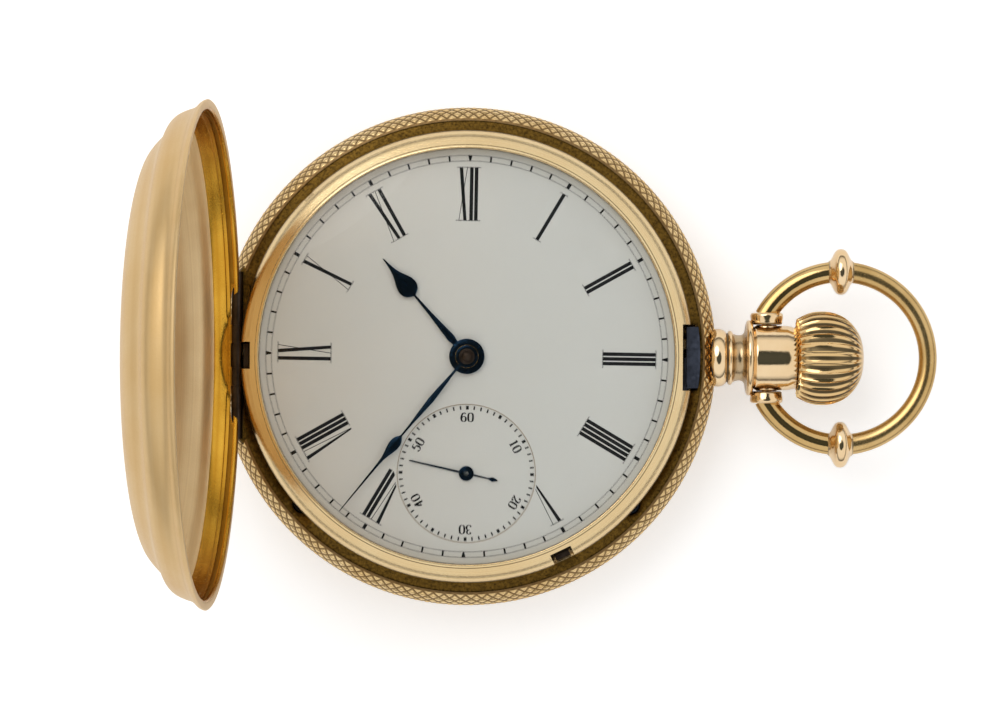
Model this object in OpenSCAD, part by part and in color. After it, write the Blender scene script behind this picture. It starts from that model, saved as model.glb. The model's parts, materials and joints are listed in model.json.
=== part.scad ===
// Full hunter pocket watch, front cover open. Millimetres, +Z towards the dial.
// The origin is on the case axis, on the flat of the back cover that the watch lies on.
// +X points at the pendant and crown (3 o'clock), +Y at 12 o'clock.

/* [Case] */
// Radius of the case band at its belly
case_r = 27.0; // [26.8:0.1:27.4]
// How far the band's edges draw in from its belly
band_bulge = 0.9; // [0.7:0.1:1.0]
// Height of the case band
band_h = 3.6; // [3.5:0.1:3.8]
// Height of each cover from its rim to its crown
cover_h = 6.8; // [6.7:0.1:7.1]
// Wall of the covers
cover_wall = 0.4; // [0.35:0.05:0.45]
// How far the cover's rim stands in from the band's edge
rim_inset = 0.1; // [0.05:0.05:0.2]
// Radius of the flat on the back cover that the watch rests on
rest_r = 15.0; // [12:0.5:16]
// Width of the plain ring between the bezel and the band's edge
ring_w = 1.75; // [1.7:0.05:1.9]
// Width of the ledge under the pillar plate
ledge_w = 1.3; // [1.0:0.1:1.5]
// Height of the collar that the bezel snaps on
collar_h = 1.2; // [1:0.1:1.3]
// Wall of the collar
collar_wall = 0.7; // [0.6:0.05:0.75]
// Angle at which the front cover stands open
open_angle = 93.5; // [90:0.5:94]
// Gap between a closed rim and the band
rim_gap = 0.05; // [0.03:0.01:0.08]

/* [Hinges] */
// Radius of the cover hinge barrels
barrel_r = 0.62; // [0.58:0.02:0.66]
// Distance from the band's edge in to the hinge axis
hinge_inset = 1.35; // [1.3:0.05:1.45]
// Height of the hinge axis over the band
hinge_lift = 0.3; // [0.26:0.02:0.34]
// Half length of the middle knuckle
mid_knuckle = 1.25; // [1.1:0.05:1.4]
// Half length out to the ends of the cover knuckles
lid_knuckle = 3.3; // [3:0.1:3.6]
// Half length of the whole hinge barrel
barrel_half = 9.0; // [8.5:0.1:9.2]
// Radius of the hinge pins
pin_r = 0.3; // [0.26:0.02:0.34]
// Running clearance of pins, arbors and screws in their bores
fit = 0.04; // [0.03:0.01:0.05]
// Clearance around the knuckles
knuckle_gap = 0.1; // [0.08:0.01:0.12]
// Thickness of the flat hinge leaf in each cover
leaf_t = 0.35; // [0.3:0.05:0.4]

/* [Cuvette] */
// Distance from the band's edge in to the cuvette's flange
flange_inset = 2.8; // [2.75:0.05:2.9]
// Width of the cuvette's flange
flange_w = 1.8; // [1.7:0.1:1.9]
// Height of the cuvette
cuvette_h = 5.65; // [5.6:0.01:5.7]
// Wall of the cuvette
cuvette_wall = 0.3; // [0.25:0.05:0.35]
// Radius of the cuvette's hinge barrel
small_barrel_r = 0.42; // [0.4:0.01:0.44]
// Radius of the cuvette's hinge pin
small_pin_r = 0.2; // [0.18:0.01:0.22]
// Half length of the cuvette's hinge
small_barrel_half = 3.0; // [2.6:0.1:3.4]

/* [Bezel and crystal] */
// Width of the bezel, from its outer edge to the opening over the dial
bezel_w = 2.35; // [2.3:0.05:2.4]
// Distance from the bezel's outer edge in to the collar that it snaps on
bezel_skirt = 1.15; // [1.1:0.05:1.2]
// Height of the bezel over the band
bezel_h = 3.1; // [3:0.05:3.2]
// How far the crystal's edge reaches into the bezel
crystal_bite = 0.4; // [0.35:0.01:0.45]
// Thickness of the crystal's edge
crystal_edge = 0.5; // [0.45:0.05:0.55]
// Rise of the crystal's inner face
crystal_rise = 0.9; // [0.8:0.05:1.0]
// How much thicker the crystal is at its middle
crystal_swell = 0.2; // [0.15:0.05:0.3]
// Width of the setting lever's slot in the bezel
slot_w = 2.4; // [2.2:0.1:2.6]
// Angle of the setting lever
setting_angle = -64; // [-68:1:-60]
// Width of the small opening nick
nick_w = 1.2; // [1:0.1:1.6]
// Angle of the opening nick
nick_angle = 135; // [125:1:145]

/* [Pendant] */
// Radius of the root flange
root_r = 3.3; // [3.1:0.1:3.5]
// How far the root flange stands out from the band
root_len = 1.0; // [0.9:0.1:1.2]
// Radius of the ring over the flange
step_r = 3.0; // [2.8:0.1:3.1]
// Length of the ring over the flange
step_len = 0.7; // [0.6:0.1:0.8]
// Radius of the neck
neck_r = 2.5; // [2.4:0.1:2.7]
// Length of the neck
neck_len = 1.4; // [1.3:0.1:1.5]
// Radius of the collar ring
ring_r = 4.1; // [4:0.05:4.2]
// Length of the collar ring
ring_len = 0.8; // [0.7:0.1:0.9]
// Radius of the pendant's barrel
pendant_r = 3.5; // [3.4:0.05:3.55]
// Length of the pendant's barrel
pendant_len = 5.5; // [5.3:0.1:5.6]
// Bore for the stem
stem_bore = 0.95; // [0.92:0.01:1.0]
// Radius of the spigot in the band
spigot_r = 1.5; // [1.4:0.05:1.55]

/* [Crown and stem] */
// How far the crown's skirt reaches over the pendant
skirt_over = 0.75; // [0.7:0.05:0.8]
// Distance from the crown's skirt to where the crown is widest
crown_back = 2.95; // [2.85:0.05:3.1]
// Radius of the crown over its ribs
crown_r = 5.06; // [4.95:0.01:5.1]
// Distance from where the crown is widest to its tip
crown_front = 4.3; // [4.2:0.1:4.4]
// Ribs around the crown
ribs = 28; // [24:1:32]
// Depth of the flutes between the ribs
flute_depth = 0.34; // [0.2:0.02:0.38]
// Gap between the crown's skirt and the pendant
skirt_gap = 0.05; // [0.04:0.01:0.08]
// Travel of the crown when it is pressed
press = 0.6; // [0.5:0.05:0.6]
// Radius of the stem
stem_r = 0.6; // [0.56:0.01:0.62]
// Side of the stem's square
stem_square = 0.78; // [0.74:0.02:0.8]
// Length of the winding pinion with its hub
winding_len = 1.5; // [1.3:0.05:1.6]
// Radius of the shoulder that pushes the lock spring
shoulder_r = 0.88; // [0.86:0.01:0.9]

/* [Bow] */
// Distance from the collar ring to the bow's pivots
pivot_len = 1.5; // [1.4:0.1:1.6]
// Distance from the bow's pivots to its middle
bow_reach = 8.0; // [7.9:0.1:8.1]
// Radius of the bow's centreline
bow_r = 9.35; // [9.25:0.05:9.5]
// Width of the bow's bar
bow_w = 2.2; // [2:0.1:2.4]
// Thickness of the bow's bar
bow_t = 1.9; // [1.7:0.1:2.1]
// Radius of the bow's eyes
eye_r = 1.8; // [1.7:0.05:1.9]
// Thickness of the bow's eyes
eye_t = 1.15; // [1.05:0.05:1.25]
// Radius of the beads on the bow
bead_r = 2.5; // [2.4:0.05:2.6]
// Width of the beads
bead_w = 2.1; // [2:0.05:2.2]
// Radius of the studs that the bow's eyes turn on
bow_stud_r = 0.5; // [0.45:0.05:0.55]
// Depth that these studs reach into the pendant
bow_stud_depth = 1.6; // [1.4:0.1:1.8]

/* [Dial] */
// Gap around the dial
dial_gap = 0.2; // [0.15:0.05:0.3]
// Thickness of the dial
dial_t = 0.6; // [0.55:0.05:0.65]
// Radius of the seconds dial
seconds_r = 7.42; // [7.3:0.02:7.5]
// Distance of the seconds dial below the middle
seconds_drop = 12.58; // [12.5:0.02:12.66]
// How far the seconds dial is sunk
seconds_sink = 0.15; // [0.1:0.05:0.2]
// Radius of the dial feet
foot_r = 0.5; // [0.4:0.05:0.55]

/* [Hands] */
// Length of the hour hand
hour_len = 13.8; // [13.4:0.1:14]
// Middle and half length of the hour hand's bulb
hour_bulb = 9.95; // [9.5:0.05:10.2]
hour_bulb_half = 1.25; // [1.1:0.05:1.4]
// Length of the minute hand
minute_len = 21.5; // [21.2:0.1:21.6]
// Middle and half length of the minute hand's bulb
minute_bulb = 12.6; // [12:0.1:13]
minute_bulb_half = 1.6; // [1.4:0.1:1.8]
// Length of the seconds hand
second_len = 6.2; // [6:0.1:6.4]
// Tail of the seconds hand
second_tail = 3.45; // [3.2:0.05:3.6]
// Thickness of the hands
hand_t = 0.15; // [0.12:0.01:0.18]
// Hour hand, degrees clockwise from 12
hour_at = 318.4; // [310:0.1:330]
// Minute hand, degrees clockwise from 12
minute_at = 218.5; // [200:0.1:230]
// Seconds hand, degrees clockwise from 60
second_at = 282; // [200:1:300]

/* [Plates] */
// Thickness of the pillar plate
plate_t = 1.6; // [1.5:0.05:1.7]
// Space under the dial for the motion works
motion_h = 1.0; // [0.95:0.05:1.05]
// Distance between the plates
train_h = 3.4; // [3.35:0.05:3.45]
// Thickness of the top plate
top_t = 1.2; // [1.1:0.05:1.25]
// Distance from the pillar plate's edge in to the top plate's
top_inset = 1.8; // [1.7:0.05:1.9]
// Space between the top plate and the cock
balance_h = 1.3; // [1.25:0.05:1.35]
// Thickness of the cock
cock_t = 0.8; // [0.7:0.05:0.85]
// Radius of the pillars
pillar_r = 1.2; // [1.1:0.1:1.3]
// Distance from the top plate's edge in to the pillars
pillar_inset = 1.4; // [1.3:0.05:1.5]
// Radius of the small screws
screw_r = 0.4; // [0.35:0.05:0.45]

/* [Train] */
// Teeth of the barrel and leaves of the centre pinion
barrel_teeth = 78; // [76:2:78]
centre_leaves = 12; // [12:1:12]
// Tooth module of the barrel
barrel_m = 0.22; // [0.216:0.002:0.222]
// Direction of the barrel from the middle
barrel_angle = 120; // [118:1:122]
// Teeth of the centre wheel and leaves of the third pinion
centre_teeth = 80; // [76:2:80]
third_leaves = 10; // [10:1:10]
// Tooth module of the centre wheel
centre_m = 0.2; // [0.196:0.002:0.202]
// Teeth of the third wheel and leaves of the fourth pinion
third_teeth = 75; // [73:1:75]
fourth_leaves = 10; // [10:1:10]
// Tooth module of the third wheel
third_m = 0.18; // [0.176:0.002:0.182]
// Teeth of the fourth wheel and leaves of the escape pinion
fourth_teeth = 80; // [76:2:80]
escape_leaves = 8; // [8:1:8]
// Tooth module of the fourth wheel
fourth_m = 0.14; // [0.136:0.002:0.142]
// Direction of the escape wheel from the fourth wheel
escape_angle = 160; // [157:1:163]
// Teeth and radius of the escape wheel
escape_teeth = 15; // [15:1:15]
escape_r = 3.6; // [3.4:0.05:3.6]
// Direction of the balance from the escape wheel
balance_angle = 127; // [125:1:129]
// Distance of the balance from the pallet arbor
lever_reach = 3.7; // [3.6:0.05:3.8]
// Outer radius of the balance rim
balance_r = 6.6; // [6.4:0.1:6.7]
// Screws in the balance rim
balance_screw_count = 14; // [10:2:16]
// Radius of the train's arbors
arbor_r = 0.4; // [0.36:0.02:0.44]
// Radius of the pivots
pivot_r = 0.16; // [0.14:0.01:0.18]
// Radius of the jewels
jewel_r = 0.8; // [0.7:0.05:0.85]
// Thickness of the jewels
jewel_t = 0.35; // [0.3:0.05:0.4]
// Thickness of the train wheels
wheel_t = 0.22; // [0.2:0.01:0.24]

/* [Motion and winding works] */
// Teeth of the cannon pinion, minute wheel, minute pinion and hour wheel
cannon_leaves = 12; // [12:1:12]
minute_teeth = 36; // [36:1:36]
minute_leaves = 10; // [10:1:10]
hour_teeth = 40; // [40:1:40]
// Tooth module of the cannon pinion
motion_m = 0.2; // [0.196:0.002:0.202]
// Direction of the minute wheel from the middle
minute_angle = 250; // [245:1:255]
// Leaves of the winding pinion
winding_leaves = 12; // [12:1:12]
// Teeth of the crown wheel, the transmission wheel and the ratchet wheel
crown_teeth = 30; // [30:1:30]
transfer_teeth = 48; // [48:1:48]
ratchet_teeth = 48; // [48:1:48]
// Tooth module of the winding wheels
winding_m = 0.25; // [0.248:0.001:0.252]
// Distance of the crown wheel from the middle
crown_wheel_at = 14.45; // [14.3:0.05:14.5]
// Radius of the barrel arbor
winding_arbor_r = 0.8; // [0.7:0.05:0.85]
// Width of the mainspring's strip
spring_t = 0.2; // [0.16:0.02:0.24]
// Turns of the mainspring
spring_turns = 8; // [6:1:9]

/* [Case springs] */
// Gap between the collar and the springs in the band
strip_gap = 0.25; // [0.2:0.05:0.3]
// Thickness of these springs
strip_w = 0.7; // [0.65:0.05:0.75]
// Half width of the lock spring's head
head_half = 3.3; // [3.1:0.1:3.4]
// Angle along the band from a spring's head to its screw
strip_angle = 42; // [40:1:44]

/* [Hidden] */
$fn = 96;

// Heights of the case
band_low = cover_h;
band_top = cover_h + band_h;
axis_z = cover_h + band_h / 2;
edge_r = case_r - band_bulge;
rim_r = edge_r - rim_inset;
bezel_r = edge_r - ring_w;
window_r = bezel_r - bezel_w;
collar_r = bezel_r - bezel_skirt;
bore_r = collar_r - collar_wall;
ledge_r = bore_r - ledge_w;
flange_r = edge_r - flange_inset;
cuvette_r = flange_r - flange_w;
crystal_r = window_r + crystal_bite;
dial_r = bore_r - dial_gap;
strip_in = collar_r + strip_gap;
strip_out = strip_in + strip_w;
collar_top = band_top + collar_h;
hinge_x = -(edge_r - hinge_inset);
hinge_z = band_top + hinge_lift;
low_hinge_z = band_low - hinge_lift;
leaf_x = hinge_x - 0.1;
leaf_half = 15;
small_hinge_x = -(flange_r + 0.2);
small_hinge_z = band_low - 0.2;

// Places along the pendant, from the band out to the bow
root_end = case_r + root_len;
neck_start = root_end + step_len;
neck_end = neck_start + neck_len;
ring_end = neck_end + ring_len;
pendant_end = ring_end + pendant_len;
crown_start = pendant_end - skirt_over;
crown_mid = crown_start + crown_back;
crown_tip = crown_mid + crown_front;
bow_x = ring_end + pivot_len;
bow_mid = bow_x + bow_reach;

// Heights of the movement
plate_base = axis_z;
plate_top = plate_base + plate_t;
dial_base = plate_top + motion_h;
dial_top = dial_base + dial_t;
train_low = plate_base - train_h;
top_out = train_low - top_t;
cock_in = top_out - balance_h;
cock_out = cock_in - cock_t;
plate_r = bore_r - 0.1;
top_r = plate_r - top_inset;
pillar_at = top_r - pillar_inset;
foot_at = plate_r - 2.1;
dial_edge_gap = 0.1;

// Places of the arbors
function polar(r, a) = [r * cos(a), r * sin(a)];
barrel_d = (barrel_teeth + centre_leaves) * barrel_m / 2;
barrel_at = polar(barrel_d, barrel_angle);
centre_d = (centre_teeth + third_leaves) * centre_m / 2;
third_d = (third_teeth + fourth_leaves) * third_m / 2;
fourth_at = [0, -seconds_drop];
third_y = -(centre_d * centre_d - third_d * third_d + seconds_drop * seconds_drop)
    / (2 * seconds_drop);
third_at = [sqrt(centre_d * centre_d - third_y * third_y), third_y];
escape_d = (fourth_teeth + escape_leaves) * fourth_m / 2;
escape_at = fourth_at + polar(escape_d, escape_angle);
pallet_d = escape_r / cos(30);
pallet_at = escape_at + polar(pallet_d, balance_angle);
balance_at = pallet_at + polar(lever_reach, balance_angle);
minute_d = (cannon_leaves + minute_teeth) * motion_m / 2;
minute_pos = polar(minute_d, minute_angle);
hour_m = 2 * minute_d / (minute_leaves + hour_teeth);
crown_wheel_pos = [crown_wheel_at, 0];
crown_wheel_r = crown_teeth * winding_m / 2;
// The transmission wheel stands where its circle reaches both neighbours
transfer_a = (crown_teeth + transfer_teeth) * winding_m / 2;
transfer_b = (transfer_teeth + ratchet_teeth) * winding_m / 2;
works_span = norm(barrel_at - crown_wheel_pos);
works_along = (transfer_a * transfer_a - transfer_b * transfer_b + works_span * works_span)
    / (2 * works_span);
works_off = sqrt(transfer_a * transfer_a - works_along * works_along);
works_dir = (barrel_at - crown_wheel_pos) / works_span;
transfer_at = crown_wheel_pos + works_along * works_dir
    + works_off * [works_dir[1], -works_dir[0]];
winding_r = winding_leaves * winding_m / 2;
// The click stands outside the ratchet wheel, and its spring bends round behind it
click_angle = 150;
click_reach = ratchet_teeth * winding_m / 2 + 1.9;
click_at = barrel_at + polar(click_reach, click_angle);
click_spring_r = click_reach + 0.9 + 0.15;
click_spring_at = barrel_at + polar(click_spring_r, click_angle - 38);

// Levels of the train between the plates, from the top plate up
centre_wheel_z = train_low + 0.25;
barrel_z = train_low + 0.7;
barrel_h = train_h - 1.0;
barrel_tooth_h = 0.4;
barrel_tooth_z = barrel_z + barrel_h - barrel_tooth_h;
fourth_wheel_z = train_low + 1.1;
escape_wheel_z = train_low + 1.8;
third_wheel_z = train_low + 2.3;
motion_z = plate_top + 0.05;
hour_wheel_z = plate_top + 0.55;
hand_z = dial_top + 0.35;

// A point's angle as seen from another
function bearing(from, to) = atan2(to[1] - from[1], to[0] - from[0]);

// The phase that meshes a second gear with a first, whose tooth stands at phase
function mesh_phase(from, to, teeth, phase, teeth_2) =
    bearing(from, to) + 180 + 360 / teeth_2
    * (0.5 - (phase - bearing(from, to)) * teeth / 360);

// Outline of a toothed wheel: each tooth is a trapezoid with rounded shoulders
function tooth_outline(teeth, size, phase) = [
    for (i = [0 : teeth - 1])
        for (p = [[-0.26, -1.1], [-0.2, 0], [-0.09, 0.85], [0.09, 0.85], [0.2, 0], [0.26, -1.1]])
            polar(size * teeth / 2 + p[1] * size, phase + (i + p[0]) * 360 / teeth)];

module disc(r, h, z = 0, at = [0, 0]) {
    translate([at[0], at[1], z]) cylinder(r = r, h = h);
}

module ring(r_out, r_in, h, z = 0, at = [0, 0]) {
    difference() {
        disc(r_out, h, z, at);
        disc(r_in, h + 2, z - 1, at);
    }
}

// A cylinder along X, from one place to another, on the stem's axis
module along_x(r, x1, x2) {
    translate([x1, 0, axis_z]) rotate([0, 90, 0]) cylinder(r = r, h = x2 - x1);
}

// A cylinder along Y around a hinge axis
module along_y(r, x, z, y1, y2) {
    translate([x, y2, z]) rotate([90, 0, 0]) cylinder(r = r, h = y2 - y1);
}

module toothed(teeth, size, h, z, at, phase, bore) {
    translate([at[0], at[1], z]) difference() {
        linear_extrude(height = h) polygon(tooth_outline(teeth, size, phase));
        translate([0, 0, -1]) cylinder(r = bore, h = h + 2);
    }
}

// A train wheel: a toothed rim carried on straight arms, with a bored hub
module train_wheel(teeth, size, h, z, at, phase, bore, arms) {
    rim_in = size * teeth / 2 - 1.1 * size - 0.55;
    hub_r = bore + 0.75;
    toothed(teeth, size, h, z, at, phase, rim_in);
    ring(hub_r, bore, h, z, at);
    translate([at[0], at[1], z]) for (i = [0 : arms - 1])
        rotate(i * 360 / arms) translate([hub_r - 0.2, -0.28, 0])
            cube([rim_in - hub_r + 0.4, 0.56, h]);
}

// A steel arbor with its leaves: body, seat for the wheel and a pivot at each end
module arbor(at, leaves, size, leaf_z, leaf_h, phase, low, high) {
    seat = low + jewel_t + 0.03;
    top = high - jewel_t - 0.03;
    toothed(leaves, size, leaf_h, leaf_z, at, phase, arbor_r - 0.05);
    disc(arbor_r, top - seat, seat, at);
    disc(pivot_r, high - low, low, at);
}

// Outline of a cover as insets and rises from its rim: rolled edge, wall, cove, step and dome
cover_outline = [[0, 0], [0.7, 0.83], [0.9, 1.5], [1.3, 2.6], [1.65, 3.2], [2.5, 3.7],
    [3.4, 4.0], [3.9, 4.7], [4.7, 5.4], [5.5, 5.9], [6.9, 6.3]];

// Points of the profile, moved in by the wall, and down by it as the wall turns into the dome
function cover_points(wall) = concat(
    [for (p = cover_outline)
        [rim_r - p[0] - wall, p[1] * cover_h / 6.8 - wall * min(1, p[0] / 3.4)]],
    [[rest_r, cover_h - wall], [0, cover_h - wall]]);

module cover_outside() {
    rotate_extrude() polygon(concat([[0, 0]], cover_points(0)));
}

module cover_inside() {
    rotate_extrude() polygon(concat([[0, -1], [rim_r - cover_wall, -1]], cover_points(cover_wall)));
}

// A cover in its own frame: rim at z 0, crown up, hinge at the -X side, hinge_lift over the band
module cover(catch) {
    turn_z = hinge_lift - rim_gap;
    difference() {
        union() {
            difference() {
                cover_outside();
                cover_inside();
                // Snap recess inside the rim
                if (catch) rotate_extrude() translate([rim_r - 2, 0.55]) square([2 - 0.75, 0.4]);
                // Flat where the wall would foul the band as the cover turns
                translate([leaf_x - 5, -leaf_half, -1]) cube([5, 2 * leaf_half, 4]);
            }
            // Hinge leaf closing the flat
            intersection() {
                translate([leaf_x, -leaf_half, 0]) cube([leaf_t, 2 * leaf_half, 2.8]);
                cover_outside();
            }
            for (side = [-1, 1])
                along_y(barrel_r, hinge_x, turn_z, min(side * mid_knuckle, side * lid_knuckle),
                    max(side * mid_knuckle, side * lid_knuckle));
        }
        // Room for the band's own knuckles
        along_y(barrel_r + knuckle_gap, hinge_x, turn_z, -mid_knuckle - fit, mid_knuckle + fit);
        for (side = [-1, 1])
            along_y(barrel_r + knuckle_gap, hinge_x, turn_z,
                side > 0 ? lid_knuckle - fit : -barrel_half - fit,
                side > 0 ? barrel_half + fit : -lid_knuckle + fit);
        along_y(pin_r + fit, hinge_x, turn_z, -lid_knuckle - 1, lid_knuckle + 1);
    }
}

module front_cover() {
    color("goldenrod") translate([hinge_x, 0, hinge_z]) rotate([0, -open_angle, 0])
        translate([-hinge_x, 0, -hinge_z + band_top + rim_gap]) cover(true);
}

module back_cover() {
    color("goldenrod") translate([0, 0, band_low - rim_gap]) mirror([0, 0, 1])
        cover_trimmed();
}

// The back's crown is cut flat exactly on the resting face
module cover_trimmed() {
    intersection() {
        cover(false);
        translate([0, 0, -5]) cylinder(r = case_r + 5, h = 5 + cover_h - rim_gap);
    }
}

// The dust cover: a flat-bottomed bowl with a flange, hinged under the band
cuvette_top = band_low - rim_gap;
cuvette_low = cuvette_top - cuvette_h;
flange_t = 0.45;
function cuvette_points(wall) = [[cuvette_r - 3, cuvette_low + wall],
    [cuvette_r - 1.5 - wall * 0.3, cuvette_low + 0.4 + wall],
    [cuvette_r - 0.3 - wall, cuvette_low + 1.5 + wall * 0.4], [cuvette_r - wall, cuvette_low + 2.5]];

module cuvette() {
    own = small_barrel_half / 2 - fit;
    color("darkkhaki") difference() {
        union() {
            rotate_extrude() polygon(concat([[0, cuvette_low]], cuvette_points(0),
                [[cuvette_r, cuvette_top - flange_t], [flange_r, cuvette_top - flange_t],
                [flange_r, cuvette_top], [0, cuvette_top]]));
            along_y(small_barrel_r, small_hinge_x, small_hinge_z, -own, own);
            translate([small_hinge_x, -own, cuvette_top - flange_t]) cube([0.8, 2 * own, 0.3]);
        }
        rotate_extrude() polygon(concat([[0, cuvette_low + cuvette_wall]],
            cuvette_points(cuvette_wall), [[cuvette_r - cuvette_wall, cuvette_top + 1],
            [0, cuvette_top + 1]]));
        along_y(small_pin_r + fit, small_hinge_x, small_hinge_z, -own - 1, own + 1);
        // Room for the band's knuckles
        for (side = [0, 1]) mirror([0, side, 0])
            along_y(small_barrel_r + knuckle_gap, small_hinge_x, small_hinge_z,
                small_barrel_half / 2 - fit, small_barrel_half + fit);
    }
}

// Belly of the band as an arc through its edges
function belly(u) = [edge_r + band_bulge * (1 - u * u), axis_z + u * band_h / 2];
band_steps = 8;

module band_solid(grow) {
    rotate_extrude() polygon(concat([[0, band_low - grow]],
        [for (i = [-band_steps : band_steps]) belly(i / band_steps) + [grow, 0]],
        [[0, band_top + grow]]));
}

// Channel of a spring strip, from its head to its screw: open beside the collar, closed under it
module strip_channel(turn) {
    low = axis_z + 0.3;
    intersection() {
        rotate(turn) {
            translate([0, 0, low]) rotate_extrude(angle = strip_angle)
                translate([strip_in - 0.6, 0]) square([strip_out - strip_in + 0.8, band_h]);
            rotate(strip_angle) disc(1.1, band_h, low - 0.05, [strip_mid, 0]);
        }
        union() {
            disc(case_r, band_top - 0.2 - low + 1, low - 1);
            ring(case_r, collar_r + fit, band_h, low + 0.5);
        }
    }
}

module strip_hole(turn) {
    rotate(turn + strip_angle)
        disc(screw_r + fit, 3, axis_z - 1.3, [strip_mid, 0]);
}

strip_mid = (strip_in + strip_out) / 2;
lift_turn = 180;

module case_center() {
    color("darkgoldenrod") difference() {
        union() {
            difference() {
                union() {
                    band_solid(0);
                    disc(collar_r, collar_h + 0.5, band_top - 0.5);
                }
                disc(bore_r, band_h + 5, plate_base);
                disc(ledge_r, band_h + 5, band_low - 2);
                // Grooves where the covers' knuckles turn
                for (side = [-1, 1]) for (z = [hinge_z, low_hinge_z])
                    along_y(barrel_r + knuckle_gap, hinge_x, z,
                        side > 0 ? mid_knuckle : -lid_knuckle,
                        side > 0 ? lid_knuckle : -mid_knuckle);
                along_y(small_barrel_r + knuckle_gap, small_hinge_x, small_hinge_z,
                    -small_barrel_half / 2, small_barrel_half / 2);
            }
            // Knuckles of the band, trimmed to its outline
            intersection() {
                union() for (z = [hinge_z, low_hinge_z]) {
                    along_y(barrel_r, hinge_x, z, -mid_knuckle, mid_knuckle);
                    along_y(barrel_r, hinge_x, z, lid_knuckle, barrel_half);
                    along_y(barrel_r, hinge_x, z, -barrel_half, -lid_knuckle);
                }
                disc(case_r - 0.4, 30, -5);
            }
            for (side = [-1, 1])
                along_y(small_barrel_r, small_hinge_x, small_hinge_z,
                    side > 0 ? small_barrel_half / 2 : -small_barrel_half,
                    side > 0 ? small_barrel_half : -small_barrel_half / 2);
        }
        along_y(pin_r + fit, hinge_x, hinge_z, -15, 15);
        along_y(pin_r + fit, hinge_x, low_hinge_z, -15, 15);
        along_y(small_pin_r + fit, small_hinge_x, small_hinge_z, -10, 10);
        // Stem bore, and the seat of the pendant's spigot
        along_x(stem_bore, ledge_r - 6.2, case_r + 2);
        along_x(spigot_r + fit, case_r - 1.7, case_r + 2);
        // Channels of the two case springs, the lock spring's head and the lift spring's nose
        mirror([0, 1, 0]) strip_channel(0);
        strip_channel(lift_turn);
        mirror([0, 1, 0]) strip_hole(0);
        strip_hole(lift_turn);
        intersection() {
            translate([collar_r - 1, -head_half - 0.25, axis_z])
                cube([4, 2 * head_half + 0.5, 9]);
            ring(edge_r - 1.05, collar_r + fit, 8, axis_z + 0.3);
        }
        translate([small_hinge_x - 0.7, -mid_knuckle - 0.2, axis_z + 0.3])
            cube([0.95, 2 * mid_knuckle + 0.4, band_h]);
        // Slot of the setting lever through the collar
        rotate(setting_angle) translate([collar_r - 5.2, -slot_w / 2, band_top])
            cube([7.2, slot_w, collar_h + 1]);
        // Threaded holes of the case screws in the ledge
        for (a = case_screw_angles)
            disc(screw_r + fit, 3, plate_base - 1.3, polar(case_screw_at, a));
    }
}

module pendant() {
    color("goldenrod") difference() {
        union() {
            along_x(spigot_r, case_r - 1.65, case_r + 0.5);
            difference() {
                union() {
                    along_x(root_r, edge_r + 0.3, root_end);
                    along_x(step_r, root_end, neck_start);
                }
                band_solid(0.02);
            }
            along_x(neck_r, neck_start, neck_end);
            along_x(ring_r, neck_end, ring_end);
            along_x(pendant_r, ring_end, pendant_end);
            // Flat-faced bosses that the bow's eyes turn against
            along_y(eye_r - 0.2, bow_x, axis_z, -pendant_r - 0.2, pendant_r + 0.2);
        }
        along_x(stem_bore, case_r - 3, pendant_end + 1);
        for (side = [0, 1]) mirror([0, side, 0]) {
            along_y(bow_stud_r + fit, bow_x, axis_z, eye_in - bow_stud_depth - 0.1, eye_in + 1);
            // The collar ring is cut back where the bow's eyes turn
            along_y(eye_r + 0.1, bow_x, axis_z, eye_in - 0.05, eye_in + 2);
        }
    }
}

module bezel() {
    seat = dial_top + dial_edge_gap;
    top = band_top + bezel_h;
    groove_z = top - 0.8;
    color("goldenrod") difference() {
        rotate_extrude() polygon([[collar_r + fit, band_top], [bezel_r, band_top],
            [bezel_r, band_top + 1.2], [bezel_r - 0.55, band_top + 2.2],
            [bezel_r - 1.35, top - 0.2], [window_r + 0.3, top], [window_r, top - 0.1],
            [window_r, seat], [collar_r + fit, seat]]);
        // Groove of the crystal
        rotate_extrude() translate([window_r - 1, groove_z])
            square([crystal_r + fit - window_r + 1, crystal_edge + 0.1]);
        // Notch at the lock spring's head
        translate([collar_r - 0.05, -head_half - 0.25, band_top - 1])
            cube([5, 2 * head_half + 0.5, 9]);
        // Notch at the lift spring's nose
        translate([-bezel_r - 1, -mid_knuckle - 0.2, band_top - 1])
            cube([bezel_r + 1 - collar_r - 0.05, 2 * mid_knuckle + 0.4, 9]);
        // Groove where the front cover's knuckles turn
        along_y(barrel_r + knuckle_gap, hinge_x, hinge_z, -lid_knuckle - fit, lid_knuckle + fit);
        // Slot of the setting lever, and the opening nick
        rotate(setting_angle) translate([collar_r - 0.1, -slot_w / 2, band_top - 1])
            cube([5, slot_w, 9]);
        rotate(nick_angle) translate([bezel_r - 0.45, -nick_w / 2, band_top - 1])
            cube([5, nick_w, 9]);
    }
}

// Height of a shallow dome over its edge, at a radius
function dome(rise, r) = rise * (1 - r * r / (crystal_r * crystal_r));
dome_steps = 12;

module crystal() {
    low = band_top + bezel_h - 0.75;
    radii = [for (i = [0 : dome_steps]) crystal_r * i / dome_steps];
    color("lightcyan", 0.4) rotate_extrude() polygon(concat(
        [for (r = radii) [r, low + dome(crystal_rise, r)]],
        [for (i = [dome_steps : -1 : 0])
            [radii[i], low + crystal_edge + dome(crystal_rise + crystal_swell, radii[i])]]));
}

foot_angles = [22, 142, 288];

module dial() {
    color("whitesmoke") {
        difference() {
            disc(dial_r, dial_t, dial_base);
            disc(1.45, dial_t + 2, dial_base - 1);
            disc(seconds_r + 0.02, dial_t + 2, dial_base - 1, fourth_at);
        }
        for (a = foot_angles) disc(foot_r, motion_h + 1.2, plate_top - 1.2, polar(foot_at, a));
    }
}

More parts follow.
